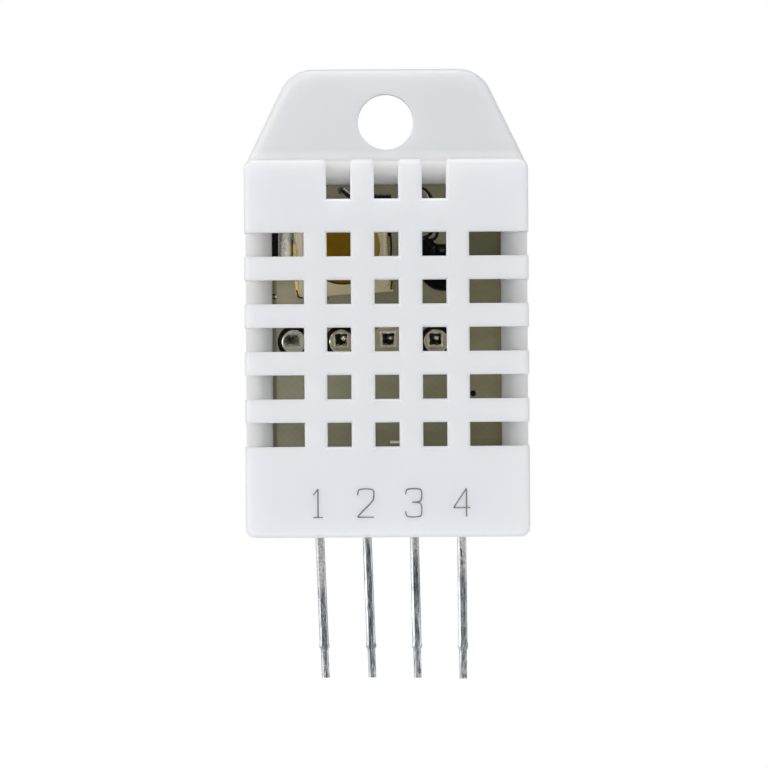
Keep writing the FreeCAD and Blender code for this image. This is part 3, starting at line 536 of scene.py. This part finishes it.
def crown_fall(reach):
    """How far the crowned top has fallen at this distance from its middle."""
    return reach ** 2 / (2 * CROWN_RADIUS) * (1 - CROWN_EASE * reach ** 2)


def button_rings(radius):
    """The flank, the rounded edge and the crowned top of one joint."""
    rings = [(radius, 0.0), (radius, JOINT_HEIGHT - EDGE_ROUND)]
    inner = radius - EDGE_ROUND
    for turn in map(math.radians, EDGE_TURNS):
        rings.append((inner + EDGE_ROUND * math.cos(turn),
                      JOINT_HEIGHT - EDGE_ROUND * (1 - math.sin(turn))))
    top = rings[-1][1] + crown_fall(inner)
    for step in range(1, CROWN_RINGS):
        reach = inner * (1 - step / CROWN_RINGS)
        rings.append((reach, top - crown_fall(reach)))
    return rings


bright_solder = finish("bright_solder", light=(0.92, 0.87, 0.67), shade=(0.84, 0.79, 0.60),
                       patch=700.0, grain=9000.0, gloss=0.02, matt=0.08, depth=0.09,
                       shader=METAL)
hazed_solder = finish("hazed_solder", light=(0.90, 0.88, 0.74), shade=(0.82, 0.80, 0.67),
                      patch=700.0, grain=9000.0, gloss=0.03, matt=0.13, depth=0.24,
                      shader=METAL)
dull_solder = finish("dull_solder", light=(0.66, 0.65, 0.60), shade=(0.5, 0.49, 0.45),
                     patch=900.0, grain=3500.0, gloss=0.15, matt=0.4, depth=0.3, shader=METAL)
buttons = []
reflection_rings = []
for number, x in enumerate(JOINT_X):
    foot = Vector((x * MM, board_face, JOINT_Z * MM))
    spread = number == SPREAD_JOINT
    button = turned(f"button_{number + 1}", foot,
                    button_rings(SPREAD_RADIUS if spread else JOINT_RADIUS))
    pick(button, "faces")
    for axis, tilt in JOINT_TILT.items():
        bpy.ops.transform.rotate(value=tilt, orient_axis=axis, center_override=foot)
    buttons.append(close(button))
    if not spread:
        reflection_rings.append(turned(f"flux_{number + 1}", foot, DARK_RING_STEPS))
fit(buttons.pop(0), "solder", hazed_solder)
fit(join("test_point_buttons", buttons), "solder", bright_solder, "test_point_joints")
fit(join("joint_reflection_rings", reflection_rings), "solder", black_flux_and_shade)
for pads in ("test_pads", "edge_pads"):
    dress(nodes[pads], tinned)
for solder in ("pin_solder", "lead_joints"):
    dress(nodes[solder], dull_solder)

# A bar of solder on the board stands beside the humidity plate. It is lumpy and mottled,
# painted darker on the left as painted shade, with one painted white highlight on the right.
# A black band beside it is painted shade, and a bright line beside that is a painted highlight.
BAR_LUMP = 0.1 * MM
BAR_CUTS = 90
BAR_LEFT_SHADE_RUN = (-5.35, -5.72)
BAR_LEFT_PAINTED_SHADE = (0.42, 0.41, 0.36)
BAR_GRAIN = (1, 1, 0.55)
BAR_HIGHLIGHT_X = -5.28
BAR_HIGHLIGHT_RUN = (0.19, 0.05)
BAR_HIGHLIGHT_SHARE = 0.95
BAR_HIGHLIGHT_WHITE = (1, 1, 1)
SHADE_BAND_EDGES = (-6.13, -5.80)
BAND_RISE = 0.09 * MM
BAND_LUMP = 0.03 * MM
BAND_CUTS = 60
LUMP_SIZE = 0.28 * MM
END_ROUND = 0.03 * MM
HIGHLIGHT_LINE_X = -5.765
HIGHLIGHT_LINE_RADIUS = 0.03 * MM
bar_low, bar_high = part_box("contact_solder")


def modify(piece, kind, **settings):
    """Applies one modifier to a piece."""
    bpy.ops.object.select_all(action="DESELECT")
    bpy.context.view_layer.objects.active = piece
    piece.select_set(True)
    modifier = piece.modifiers.new(kind.lower(), kind)
    for name, value in settings.items():
        setattr(modifier, name, value)
    bpy.ops.object.modifier_apply(modifier=modifier.name)


def runs_along(edge):
    """Whether an edge runs from one end of the bar to the other."""
    return abs(edge.verts[0].co.z - edge.verts[1].co.z) > (bar_high.z - bar_low.z) / 2


def closes_end(face):
    """Whether a face closes an end of the bar: all the others have four corners."""
    return len(face.verts) > 4


def lumpy_bar(name, left, right, rise, cuts, lump):
    """A half round bar of solder or flux on the board's face, with a lumpy skin."""
    bpy.ops.mesh.primitive_cylinder_add(
        vertices=36, radius=0.5, depth=bar_high.z - bar_low.z, scale=(right - left, 2 * rise, 1),
        location=((left + right) / 2, board_face, (bar_low.z + bar_high.z) / 2))
    piece = start(name)
    pick(piece, "edges", runs_along)
    bpy.ops.mesh.subdivide(number_cuts=cuts)
    close(piece)
    pick(piece, "faces", closes_end)
    bpy.ops.mesh.bevel(offset=END_ROUND, segments=3)
    close(piece)
    modify(piece, "DISPLACE", texture=lumps, texture_coords="LOCAL", strength=lump,
           mid_level=0.5)
    return piece


lumps = bpy.data.textures.new("solder_lumps", "CLOUDS")
lumps.noise_scale = LUMP_SIZE
lumps.noise_depth = 3
solder_bar = lumpy_bar("solder_bar", bar_low.x, bar_high.x, bar_high.y - bar_low.y, BAR_CUTS,
                       BAR_LUMP)
mottled = finish("mottled_solder", light=(0.98, 0.99, 0.96), shade=(0.36, 0.36, 0.32),
                 patch=11000.0, grain=16000.0, gloss=0.2, matt=0.45, depth=1.0,
                 stretch=BAR_GRAIN, shader={"Metallic": 0.2})
tree, surface, mottle = opened(mottled)
across = put(tree, "SeparateXYZ", {0: own_place(tree)}).outputs["X"]
# Painted shade on the bar's left side, and a painted highlight on its right.
mottle = blend(tree, fade(tree, across, BAR_LEFT_SHADE_RUN), mottle, BAR_LEFT_PAINTED_SHADE, "MULTIPLY")
from_highlight = put(tree, "Math", {0: across, 1: BAR_HIGHLIGHT_X * MM}, operation="SUBTRACT")
highlight_reach = put(tree, "Math", {0: from_highlight.outputs[0]}, operation="ABSOLUTE").outputs[0]
highlighted = blend(tree, fade(tree, highlight_reach, BAR_HIGHLIGHT_RUN, BAR_HIGHLIGHT_SHARE), mottle, BAR_HIGHLIGHT_WHITE)
tree.links.new(highlighted, surface.inputs["Base Color"])
fit(solder_bar, "solder", mottled, "contact_solder")
# The black band is painted shade, and the bright line after it is a painted highlight.
painted_shade_band = lumpy_bar("painted_shade_band", SHADE_BAND_EDGES[0] * MM, SHADE_BAND_EDGES[1] * MM, BAND_RISE, BAND_CUTS,
                      BAND_LUMP)
fit(painted_shade_band, "solder", black_flux_and_shade)
highlight_line = wire("highlight_line",
                  [Vector((HIGHLIGHT_LINE_X * MM, board_face - HIGHLIGHT_LINE_RADIUS, z))
                   for z in (bar_low.z, (bar_low.z + bar_high.z) / 2, bar_high.z)],
                  HIGHLIGHT_LINE_RADIUS)
fit(highlight_line, "solder", tinned)

# The humidity element is a cream ceramic plate with broken edges, two printed electrodes and
# a scribed line. A brown polymer film is printed on it in a round patch, thinner on the right,
# with a darker, slightly raised and ragged rim.
PLATE_CREAM = (0.74, 0.665, 0.42)
PLATE_SHADE = (0.67, 0.60, 0.38)
PLATE_EDGE = 0.05 * MM
# An electrode is given by its left edge, its right edge and its foot.
ELECTRODES = {"left": (-4.84, -4.53, -9.3), "right": (-0.15, -0.04, -7.6)}
ELECTRODE_GAP = 0.3
ELECTRODE_THICKNESS = 0.016 * MM
ELECTRODE_EDGE = 0.004 * MM
SCRIBE_FOOT = at(-0.14, 0, -9.07)
SCRIBE_HEAD = at(0.21, 0, -8.72)
SCRIBE_RADIUS = 0.014 * MM
FILM_BROWN = (0.235, 0.135, 0.008)
FILM_SHADE = (0.200, 0.114, 0.006)
FILM_SIDES = 120
# The film's rim goes in from its edge by millimetres and up by shares of the film's height.
FILM_RIM = ((0, 0), (0, 0.5), (0.03, 0.95), (0.08, 1), (0.16, 0.8), (0.4, 0.7))
FILM_MIDDLE_RADIUS = 0.5
FILM_MIDDLE_RISE = 0.7
THIN_FILM = (0.38, 0.24, 0.055)
THIN_SIDE = (-1.6, -0.75)
RIM_DARK = (0.075, 0.038, 0.003)
RIM_WIDTH = 0.15
RIM_INSET = 0.04
RIM_WANDER = 0.08 * MM
RIM_RAGGED = 7000.0
WELD = 0.0005 * MM
FLAT_ANGLE = math.radians(1)
CORNER_ANGLE = math.radians(30)
SHADING_ANGLE = math.radians(35)


def worked_copy(node, name, softening, segments=2):
    """A merged copy of a CAD node whose sharp edges are rounded."""
    piece = bpy.data.objects.new(name, nodes[node].data.copy())
    bpy.context.scene.collection.objects.link(piece)
    pick(piece, "verts")
    bpy.ops.mesh.remove_doubles(threshold=WELD)
    bpy.ops.mesh.dissolve_limited(angle_limit=FLAT_ANGLE)
    close(piece, smooth=False)
    if softening:
        modify(piece, "BEVEL", width=softening, segments=segments, limit_method="ANGLE",
               angle_limit=CORNER_ANGLE, use_clamp_overlap=True)
    bpy.ops.object.shade_smooth_by_angle(angle=SHADING_ANGLE)
    return piece


plate_low, plate_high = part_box("humidity_plate")
plate = worked_copy("humidity_plate", "ceramic_plate", PLATE_EDGE, 3)
cream_ceramic = finish("cream_ceramic", PLATE_CREAM, PLATE_SHADE, patch=900.0, grain=7000.0,
                       gloss=0.3, matt=0.6, depth=0.25, shader={"Coat Weight": 0.15})
fit(plate, "ceramic", cream_ceramic, "humidity_plate")
pale_ink = finish("electrode_ink", light=(0.90, 0.83, 0.68), shade=(0.82, 0.75, 0.60),
                  patch=1500.0, grain=7000.0, gloss=0.4, matt=0.6, depth=0.2)
head = plate_high.z / MM - ELECTRODE_GAP
for side, (left, right, foot) in ELECTRODES.items():
    bpy.ops.mesh.primitive_cube_add(
        size=1, location=((left + right) / 2 * MM, plate_low.y, (foot + head) / 2 * MM),
        scale=((right - left) * MM, ELECTRODE_THICKNESS, (head - foot) * MM))
    electrode = start(f"{side}_electrode")
    modify(electrode, "BEVEL", width=ELECTRODE_EDGE, segments=2)
    fit(electrode, "ceramic", pale_ink)
scribed_ceramic = finish("scribed_ceramic", light=(0.42, 0.37, 0.22), shade=(0.36, 0.32, 0.19),
                         patch=1500.0, grain=7000.0, gloss=0.5, matt=0.7, depth=0.2)
scribe = wire("scribed_line", [Vector((spot.x, plate_low.y, spot.z)) for spot in
                               (SCRIBE_FOOT, (SCRIBE_FOOT + SCRIBE_HEAD) / 2, SCRIBE_HEAD)],
              SCRIBE_RADIUS)
fit(scribe, "ceramic", scribed_ceramic)

film_low, film_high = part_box("humidity_film")
film_centre = (film_low + film_high) / 2
film_centre.y = film_high.y
film_radius = (film_high.x - film_low.x) / 2 / MM
film_rise = (film_high.y - film_low.y) / MM
film_rings = [(film_radius - inward, film_rise * share) for inward, share in FILM_RIM]
film_rings.append((FILM_MIDDLE_RADIUS, film_rise * FILM_MIDDLE_RISE))
film = turned("sensing_film", film_centre, film_rings, FILM_SIDES)
brown_film = finish("brown_film", FILM_BROWN, FILM_SHADE, patch=1400.0, grain=11000.0,
                    gloss=0.45, matt=0.6, depth=0.25, shader={"Specular IOR Level": 0.05})
tree, surface, brown = opened(brown_film)
centred = put(tree, "VectorMath", {0: own_place(tree), 1: film_centre}, operation="SUBTRACT")
reach = put(tree, "VectorMath", {0: centred.outputs[0]}, operation="LENGTH").outputs["Value"]
ragged = noise(tree, centred.outputs[0], RIM_RAGGED)
wander = span(tree, ragged, 0.0, 1.0, -RIM_WANDER, RIM_WANDER)
edge = put(tree, "Math", {0: reach, 1: wander}, operation="ADD").outputs[0]
rim = fade(tree, edge, (film_radius - RIM_WIDTH, film_radius - RIM_INSET))
tree.links.new(blend(tree, rim, brown, RIM_DARK), surface.inputs["Base Color"])
tint(brown_film, "X", THIN_SIDE, THIN_FILM)
fit(film, "sensing_film", brown_film, "humidity_film")

# Two gilt contacts grip the plate's side edges; the right one is a darker copy of the gilt,
# as painted shade. Fine black lines are drawn over each: the outline beside the left one and
# the hook under its foot are painted shadow, and the lines beside the right one are wire ends,
# partly painted shadow.
CONTACT_EDGE = 0.02 * MM
RIGHT_SHIFT = -0.09 * MM
# A wire end or painted shadow line is given by its radius and points, across and up the plate.
WIRE_ENDS_AND_SHADOWS = {
    "left_shadow_hook": (0.04, ((-4.80, -9.10), (-4.77, -9.30), (-4.70, -9.47), (-4.52, -9.53),
                         (-4.44, -9.52))),
    "left_shadow_outline": (0.025, ((-5.02, -7.6), (-5.025, -7.2), (-5.03, -6.7), (-5.0, -6.42))),
    "right_wire_and_shadow": (0.05, ((0.24, -7.3), (0.26, -7.0), (0.26, -6.6), (0.24, -6.25),
                             (0.19, -5.9))),
    "right_blob": (0.09, ((0.15, -6.26), (0.15, -6.1), (0.14, -5.85))),
    "right_foot": (0.04, ((0.29, -8.62), (0.275, -8.85), (0.22, -8.95), (0.25, -9.08))),
}
gilding = finish("gold_flash", light=(0.98, 0.76, 0.28), shade=(0.58, 0.42, 0.14),
                 patch=1800.0, grain=8000.0, gloss=0.12, matt=0.35, depth=0.4,
                 shader={"Metallic": 0.5})
# A darker copy of the gilt, as painted shade on the right contact.
shaded_gilding = finish("shaded_gold_flash", light=(0.36, 0.30, 0.12), shade=(0.24, 0.20, 0.08),
                      patch=1800.0, grain=8000.0, gloss=0.2, matt=0.4, depth=0.4,
                      shader={"Metallic": 0.4})
left_contact = worked_copy("left_contact", "gilt_left_contact", CONTACT_EDGE)
fit(left_contact, "gold_contact", gilding, "left_contact")
right_contact = worked_copy("right_contact", "gilt_right_contact", CONTACT_EDGE)
pick(right_contact, "verts")
bpy.ops.transform.translate(value=(RIGHT_SHIFT, 0, 0))
close(right_contact, smooth=False)
fit(right_contact, "gold_contact", shaded_gilding, "right_contact")
# Black enamel for the leads, also used for the painted shadow lines at the contacts.
enamel_and_shadow = finish("black_enamel_and_painted_shadow", light=(0.004, 0.004, 0.006), shade=(0.008, 0.008, 0.010),
                patch=2200.0, grain=9000.0, gloss=0.08, matt=0.2, depth=0.1,
                shader={"Specular IOR Level": 0.25})
contact_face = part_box("left_contact")[0].y
# The left outline and hook are painted shadow; the right outline is partly painted shadow.
for name, (radius, points) in WIRE_ENDS_AND_SHADOWS.items():
    route = [Vector((x * MM, contact_face, z * MM)) for x, z in points]
    fit(wire(name, route, radius * MM), "dark_wire", enamel_and_shadow)

# Three enamelled leads come out of the board. One bends over the top of the humidity plate
# and runs thinner along its edge, and two arch down into the thermistor's neck. A fine bright
# strand beside two of them is a painted highlight.
HUMIDITY_RADIUS = 0.15 * MM
THERMISTOR_RADIUS = 0.085 * MM
HIGHLIGHT_STRAND_RADIUS = 0.03 * MM
LEAD_FACETS = 5
THIN_END = (0.46, 0.46, 0.46, 0.48, 0.72, 1, 1, 1)
LEAD_TAIL = -2.15
LEAD_RISE = -4.25
PLATE_RUN = -5.15
BEAD = at(3.02, -4.9, -7.93)
NECK_TOP = at(1.92, -4.9, -6.91)
NECK_REACH = 1.7
NECK_DEPTH = 0.5
LEAD_SPREAD = 0.22
neck_way = NECK_TOP - BEAD
neck_way.normalize()
neck_side = Vector((neck_way.z, 0, -neck_way.x))


def into_neck(side, above):
    """The last stretch of a lead: it starts above the neck and ends on this side inside it."""
    return [BEAD + (neck_side * side * LEAD_SPREAD + neck_way * reach) * MM
            for reach in (NECK_REACH + above, NECK_REACH + above / 2, NECK_REACH - NECK_DEPTH)]


humidity_route = [
    at(-2.40, LEAD_TAIL, -3.76), at(-2.40, PLATE_RUN + 0.6, -3.76), at(-2.42, PLATE_RUN, -3.72),
    at(-2.2, PLATE_RUN, -3.95), at(-1.92, PLATE_RUN, -4.13), at(-1.6, PLATE_RUN, -4.15),
    at(-0.6, PLATE_RUN, -4.13), at(0.27, PLATE_RUN, -4.14)]
left_route = [
    at(1.24, LEAD_TAIL, -4.1), at(1.24, LEAD_RISE, -4.1), at(1.55, LEAD_RISE - 0.3, -3.55),
    at(2.2, LEAD_RISE - 0.4, -3.75), at(2.62, LEAD_RISE - 0.5, -4.6),
    at(2.6, LEAD_RISE - 0.6, -5.7), at(2.3, LEAD_RISE - 0.7, -6.3), *into_neck(side=-1, above=0.6)]
right_route = [
    at(3.57, LEAD_TAIL, -4.5), at(3.57, LEAD_RISE, -4.5), at(3.3, LEAD_RISE - 0.4, -5.2),
    at(2.75, LEAD_RISE - 0.6, -5.7), at(2.72, LEAD_RISE - 0.7, -6.3),
    at(2.4, LEAD_RISE - 0.7, -6.5), *into_neck(side=1, above=0.3)]
# Two fine bright strands are painted highlights along the leads.
left_highlight_strand = [
    at(-2.26, PLATE_RUN, -3.68), at(-2.08, PLATE_RUN, -3.84), at(-1.92, PLATE_RUN, -3.98),
    at(-1.75, PLATE_RUN, -4.03)]
right_highlight_strand = [
    at(1.96, LEAD_RISE - 0.4, -3.72), at(2.10, LEAD_RISE - 0.4, -3.85),
    at(2.21, LEAD_RISE - 0.42, -4.02), at(2.27, LEAD_RISE - 0.45, -4.25)]
for lead, route, radius, swell in (
        ("humidity_lead", humidity_route, HUMIDITY_RADIUS, THIN_END),
        ("thermistor_lead_left", left_route, THERMISTOR_RADIUS, ()),
        ("thermistor_lead_right", right_route, THERMISTOR_RADIUS, ())):
    fit(wire(f"{lead}_wire", route, radius, LEAD_FACETS, swell), "dark_wire", enamel_and_shadow, lead)
highlight_metal = finish("painted_highlight_strand", light=(0.90, 0.88, 0.84), shade=(0.75, 0.73, 0.69),
                    patch=3000.0, grain=9000.0, gloss=0.2, matt=0.4, depth=0.2,
                    shader={"Metallic": 0.2})
for strand, route in (("highlight_strand_left", left_highlight_strand), ("highlight_strand_right", right_highlight_strand)):
    fit(wire(strand, route, HIGHLIGHT_STRAND_RADIUS), "dark_wire", highlight_metal)

# The thermistor is a bead dipped in black epoxy, which ran up its leads into a wide neck and
# set with a soft, slightly lumpy and very glossy skin.
BEAD_RADIUS = 1.27
NECK_CONE = math.radians(34)
# The neck grows by a length and narrows by a factor, step by step.
NECK_STEPS = ((0.15, 0.93), (0.25, 0.97), (0.3, 0.97), (0.15, 0.9), (0.06, 0.8))
SAG_SIZE = 0.9 * MM
SAG_DEPTH = 0.04 * MM


def is_neck(face):
    """Whether a face of the ball lies where the neck grows out."""
    way = (face.calc_center_median() - BEAD).normalized()
    return way.dot(neck_way) > math.cos(NECK_CONE)


bpy.ops.mesh.primitive_uv_sphere_add(segments=56, ring_count=36, radius=BEAD_RADIUS * MM,
                                     location=BEAD,
                                     rotation=(0, math.atan2(neck_way.x, neck_way.z), 0))
bead = start("epoxy_bead")
pick(bead, "faces", is_neck)
for step, narrowing in NECK_STEPS:
    bpy.ops.mesh.extrude_region_move(
        TRANSFORM_OT_translate={"value": neck_way * step * MM, "orient_type": "GLOBAL"})
    bpy.ops.transform.resize(value=(narrowing, narrowing, narrowing))
close(bead)
modify(bead, "SUBSURF", levels=1, render_levels=1)
sags = bpy.data.textures.new("epoxy_sags", "CLOUDS")
sags.noise_scale = SAG_SIZE
modify(bead, "DISPLACE", texture=sags, texture_coords="LOCAL", strength=SAG_DEPTH,
       mid_level=0.5)
bpy.ops.object.shade_smooth()
black_epoxy = finish("black_epoxy", light=(0.002, 0.002, 0.003), shade=(0.004, 0.004, 0.006),
                     patch=900.0, grain=3000.0, gloss=0.08, matt=0.2, depth=0.12,
                     shader={"Specular IOR Level": 0.07})
fit(bead, "black_epoxy", black_epoxy, "thermistor_bead")

# Four tinned pins grip the board's lower edge. Each is coined strip with rounded edges and
# drawn streaks, two stubs where its carrier was cut away, and a rough sheared edge below them.

# A pin is given by its tip's lean to the right, by how far down from the case its plating is
# dull, and by how much shorter it was cut.
PINS = {"supply_pin": (0.28, 2.9, 0.09), "data_pin": (0.245, 0.2, 0.09),
        "spare_pin": (0.14, 1.0, 0.06), "ground_pin": (0.045, 2.1, 0)}
PIN_Y = -3.1
PIN_SHIFT = 0.04
PIN_DROP = 7.7
PIN_STEP = 0.11
PIN_HALF = 0.24
PIN_FRONT = 0.125
PIN_OUTLINE = ((PIN_HALF, 0.06), (PIN_HALF, -0.03), (0.20, -0.105), (0.16, -PIN_FRONT),
               (0.05, -PIN_FRONT), (-0.05, -PIN_FRONT), (-0.115, -0.122), (-0.215, -0.055),
               (-PIN_HALF, -0.015), (-PIN_HALF, 0.07), (-0.21, 0.11), (-0.16, PIN_FRONT),
               (0.16, PIN_FRONT), (0.21, 0.11))
STRIP_RISE = 0.6 * MM
HEAD_FOOT = 0.5 * MM
STUB_DROP = 5.92
STUB_REACH = 0.03
STUB_HALF = 0.12
TIP_NARROWING = 0.83
SHEAR_SIDE = 0.12
SHEAR_DEPTH = 0.022
PIN_SHADING_ANGLE = math.radians(20)
DULL_FADE = 0.8
DULL_TIN = (0.60, 0.59, 0.57)
DULL_METAL = 0.3
SPECKLE_SIZE = 6500.0
SPECKLE_DETAIL = 3.0
SPECKLE_SPREAD = (0.35, 0.65)
SPECKLE_SHARE = (0.35, 1.0)
DRAWN_STRETCH = (2.6, 1.0, 0.2)
LINE_STRETCH = (3, 1, 0.3)
LINE_SIZE = 2600.0
LINE_DEPTH = 0.04 * MM
FLUX_TRACES = {
    "flux_trace_upper": ((3.86, -23.0), (3.94, -23.1), (3.90, -23.3), (3.95, -23.42)),
    "flux_trace_lower": ((3.96, -23.6), (3.93, -23.75), (3.97, -23.9)),
}
TRACE_RADIUS = 0.03 * MM
case_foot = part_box("front_grille")[0].z


def pin_strip(name, x, lean, dull, short, seed):
    """The part of a pin that shows, drawn down step by step from inside the case."""
    top = case_foot + STRIP_RISE
    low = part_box(name)[0].z + short * MM
    steps = round((top - low) / MM / PIN_STEP)
    drop = (top - low) / steps
    bpy.ops.mesh.primitive_circle_add(vertices=len(PIN_OUTLINE), radius=1, fill_type="NGON",
                                      location=(x, PIN_Y * MM, top))
    piece = start(f"{name}_strip")
    for vert, (across, deep) in zip(piece.data.vertices, PIN_OUTLINE):
        vert.co.x = x + across * MM
        vert.co.y = (PIN_Y + deep) * MM
    pick(piece, "faces")
    width = 1.0
    for step in range(1, steps + 1):
        below = (case_foot - (top - step * drop)) / MM
        centre = x + lean * MM * max(below, 0) / PIN_DROP
        last = x + lean * MM * max(below - drop / MM, 0) / PIN_DROP
        wanted = 1.0 if below < STUB_DROP else TIP_NARROWING
        if abs(below - STUB_DROP) < STUB_HALF:
            wanted = 1 + STUB_REACH / PIN_HALF
        bpy.ops.mesh.extrude_region_move(
            TRANSFORM_OT_translate={"value": (centre - last, 0, -drop), "orient_type": "GLOBAL"})
        bpy.ops.transform.resize(value=(wanted / width, 1, 1),
                                 center_override=(centre, PIN_Y * MM, top - step * drop))
        width = wanted
    close(piece)
    shear_top = case_foot - (STUB_DROP + STUB_HALF) * MM
    shear_left = x + lean * MM + SHEAR_SIDE * MM
    pick(piece, "verts", lambda vert: vert.co.z < shear_top and vert.co.x > shear_left)
    bpy.ops.transform.vertex_random(offset=SHEAR_DEPTH * MM, seed=seed)
    bpy.ops.mesh.select_all(action="SELECT")
    bpy.ops.mesh.normals_make_consistent(inside=False)
    close(piece)
    bpy.ops.object.shade_smooth_by_angle(angle=PIN_SHADING_ANGLE)
    dullness = piece.data.attributes.new("dull", "FLOAT", "POINT")
    for share, vert in zip(dullness.data, piece.data.vertices):
        below = (case_foot - vert.co.z) / MM
        share.value = min(max((dull - below) / DULL_FADE + 0.5, 0), 1)
    return piece


drawn_tin = finish("drawn_tin", light=(0.80, 0.83, 0.85), shade=(0.32, 0.36, 0.40),
                   patch=2100.0, grain=5200.0, gloss=0.10, matt=0.25, depth=0.8,
                   stretch=DRAWN_STRETCH, shader=METAL)
tree, surface, plating = opened(drawn_tin)
dullness = put(tree, "Attribute", attribute_name="dull").outputs["Fac"]
speckle = noise(tree, own_place(tree), SPECKLE_SIZE, SPECKLE_DETAIL)
speckle = span(tree, speckle, *SPECKLE_SPREAD, *SPECKLE_SHARE)
duller = put(tree, "Math", {0: dullness, 1: speckle}, operation="MULTIPLY").outputs[0]
tree.links.new(blend(tree, duller, plating, DULL_TIN), surface.inputs["Base Color"])
metal = span(tree, duller, 0.0, 1.0, 1.0, DULL_METAL)
tree.links.new(metal, surface.inputs["Metallic"])
lengthwise = put(tree, "Mapping", {0: own_place(tree), 3: LINE_STRETCH}).outputs[0]
emboss(tree, surface, noise(tree, lengthwise, LINE_SIZE), strength=1.0, distance=LINE_DEPTH)
for number, (pin, (lean, dull, short)) in enumerate(PINS.items()):
    pin_low, pin_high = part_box(pin)
    head = worked_copy(pin, f"{pin}_head", 0)
    pick(head, "faces")
    bpy.ops.mesh.bisect(plane_co=(0, 0, case_foot + HEAD_FOOT), plane_no=(0, 0, 1),
                        use_fill=True, clear_inner=True)
    close(head, smooth=False)
    strip = pin_strip(pin, (pin_low.x + pin_high.x) / 2 + PIN_SHIFT * MM, lean, dull, short,
                      number)
    fit(join(f"tinned_{pin}", [strip, head]), "pin_metal", drawn_tin, pin)
for name, points in FLUX_TRACES.items():
    route = [Vector((x * MM, (PIN_Y - PIN_FRONT) * MM, z * MM)) for x, z in points]
    fit(wire(name, route, TRACE_RADIUS), "pin_metal", black_flux_and_shade)

# The front grille is the second white moulding, a cover that is pushed over the rear housing.
# Its windows and wrapped slots have softened edges that catch the light. All of it behind the
# front face is painted whiter than the face, as painted light on the walls of its windows and
# slots.
GRILLE_WHITE = (0.775, 0.788, 0.822)
GRILLE_SHADE = (0.765, 0.778, 0.812)
WALL_PAINTED_LIGHT_RUN = (-7.62, -7.2)
grille_plastic = finish("grille_plastic", GRILLE_WHITE, GRILLE_SHADE, **SATIN,
                        shader=WHITE_PLASTIC)
# Painted light on everything behind the front face.
tint(grille_plastic, "Y", WALL_PAINTED_LIGHT_RUN, BODY_PAINTED_LIGHT_WHITE)
dress(nodes["front_grille"], grille_plastic)

# Plain numbers over the pins are laser-marked into the cover. Each is drawn with one thin
# grey stroke, through points in shares of its width and height.
NUMBER_HEIGHT = 1.5
NUMBER_WIDTH = 0.85
NUMBER_Z = -20.45
STROKE_RADIUS = 0.036 * MM
STROKE_FLATNESS = 0.12
STROKES = {
    "1": [[(-0.28, 0.8), (0, 1)], [(0, 1), (0, 0)], [(-0.3, 0), (0.3, 0)]],
    "2": [[(-0.5, 0.78), (-0.5, 0.95), (-0.3, 1), (0.3, 1), (0.5, 0.95), (0.5, 0.7),
           (0.42, 0.55), (-0.5, 0.05), (-0.5, 0)], [(-0.5, 0), (0.5, 0)]],
    "3": [[(-0.5, 0.8), (-0.5, 0.95), (-0.3, 1), (0.3, 1), (0.5, 0.95), (0.5, 0.6),
           (0.3, 0.52), (-0.1, 0.52)],
          [(-0.1, 0.52), (0.3, 0.52), (0.5, 0.45), (0.5, 0.05), (0.3, 0), (-0.3, 0),
           (-0.5, 0.05), (-0.5, 0.2)]],
    "4": [[(0.3, 0), (0.3, 1)], [(0.3, 1), (-0.5, 0.32)], [(-0.5, 0.32), (0.55, 0.32)]],
}
laser_grey = finish("laser_mark", light=(0.14, 0.14, 0.145), shade=(0.20, 0.20, 0.205),
                    patch=3000.0, grain=12000.0, gloss=0.6, matt=0.8, depth=0.2)
cover_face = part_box("front_grille")[0].y
for number, pin in zip(STROKES, PINS):
    pin_low, pin_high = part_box(pin)
    centre = (pin_low.x + pin_high.x) / 2
    strokes = []
    for points in STROKES[number]:
        route = [Vector((centre + across * NUMBER_WIDTH * MM, cover_face,
                         (NUMBER_Z + (up - 0.5) * NUMBER_HEIGHT) * MM)) for across, up in points]
        strokes.append(wire("stroke", route, STROKE_RADIUS, facets=1))
    mark = join(f"pin_number_{number}", strokes)
    pick(mark, "verts")
    bpy.ops.transform.resize(value=(1, STROKE_FLATNESS, 1), center_override=(0, cover_face, 0))
    close(mark)
    fit(mark, "case", laser_grey)
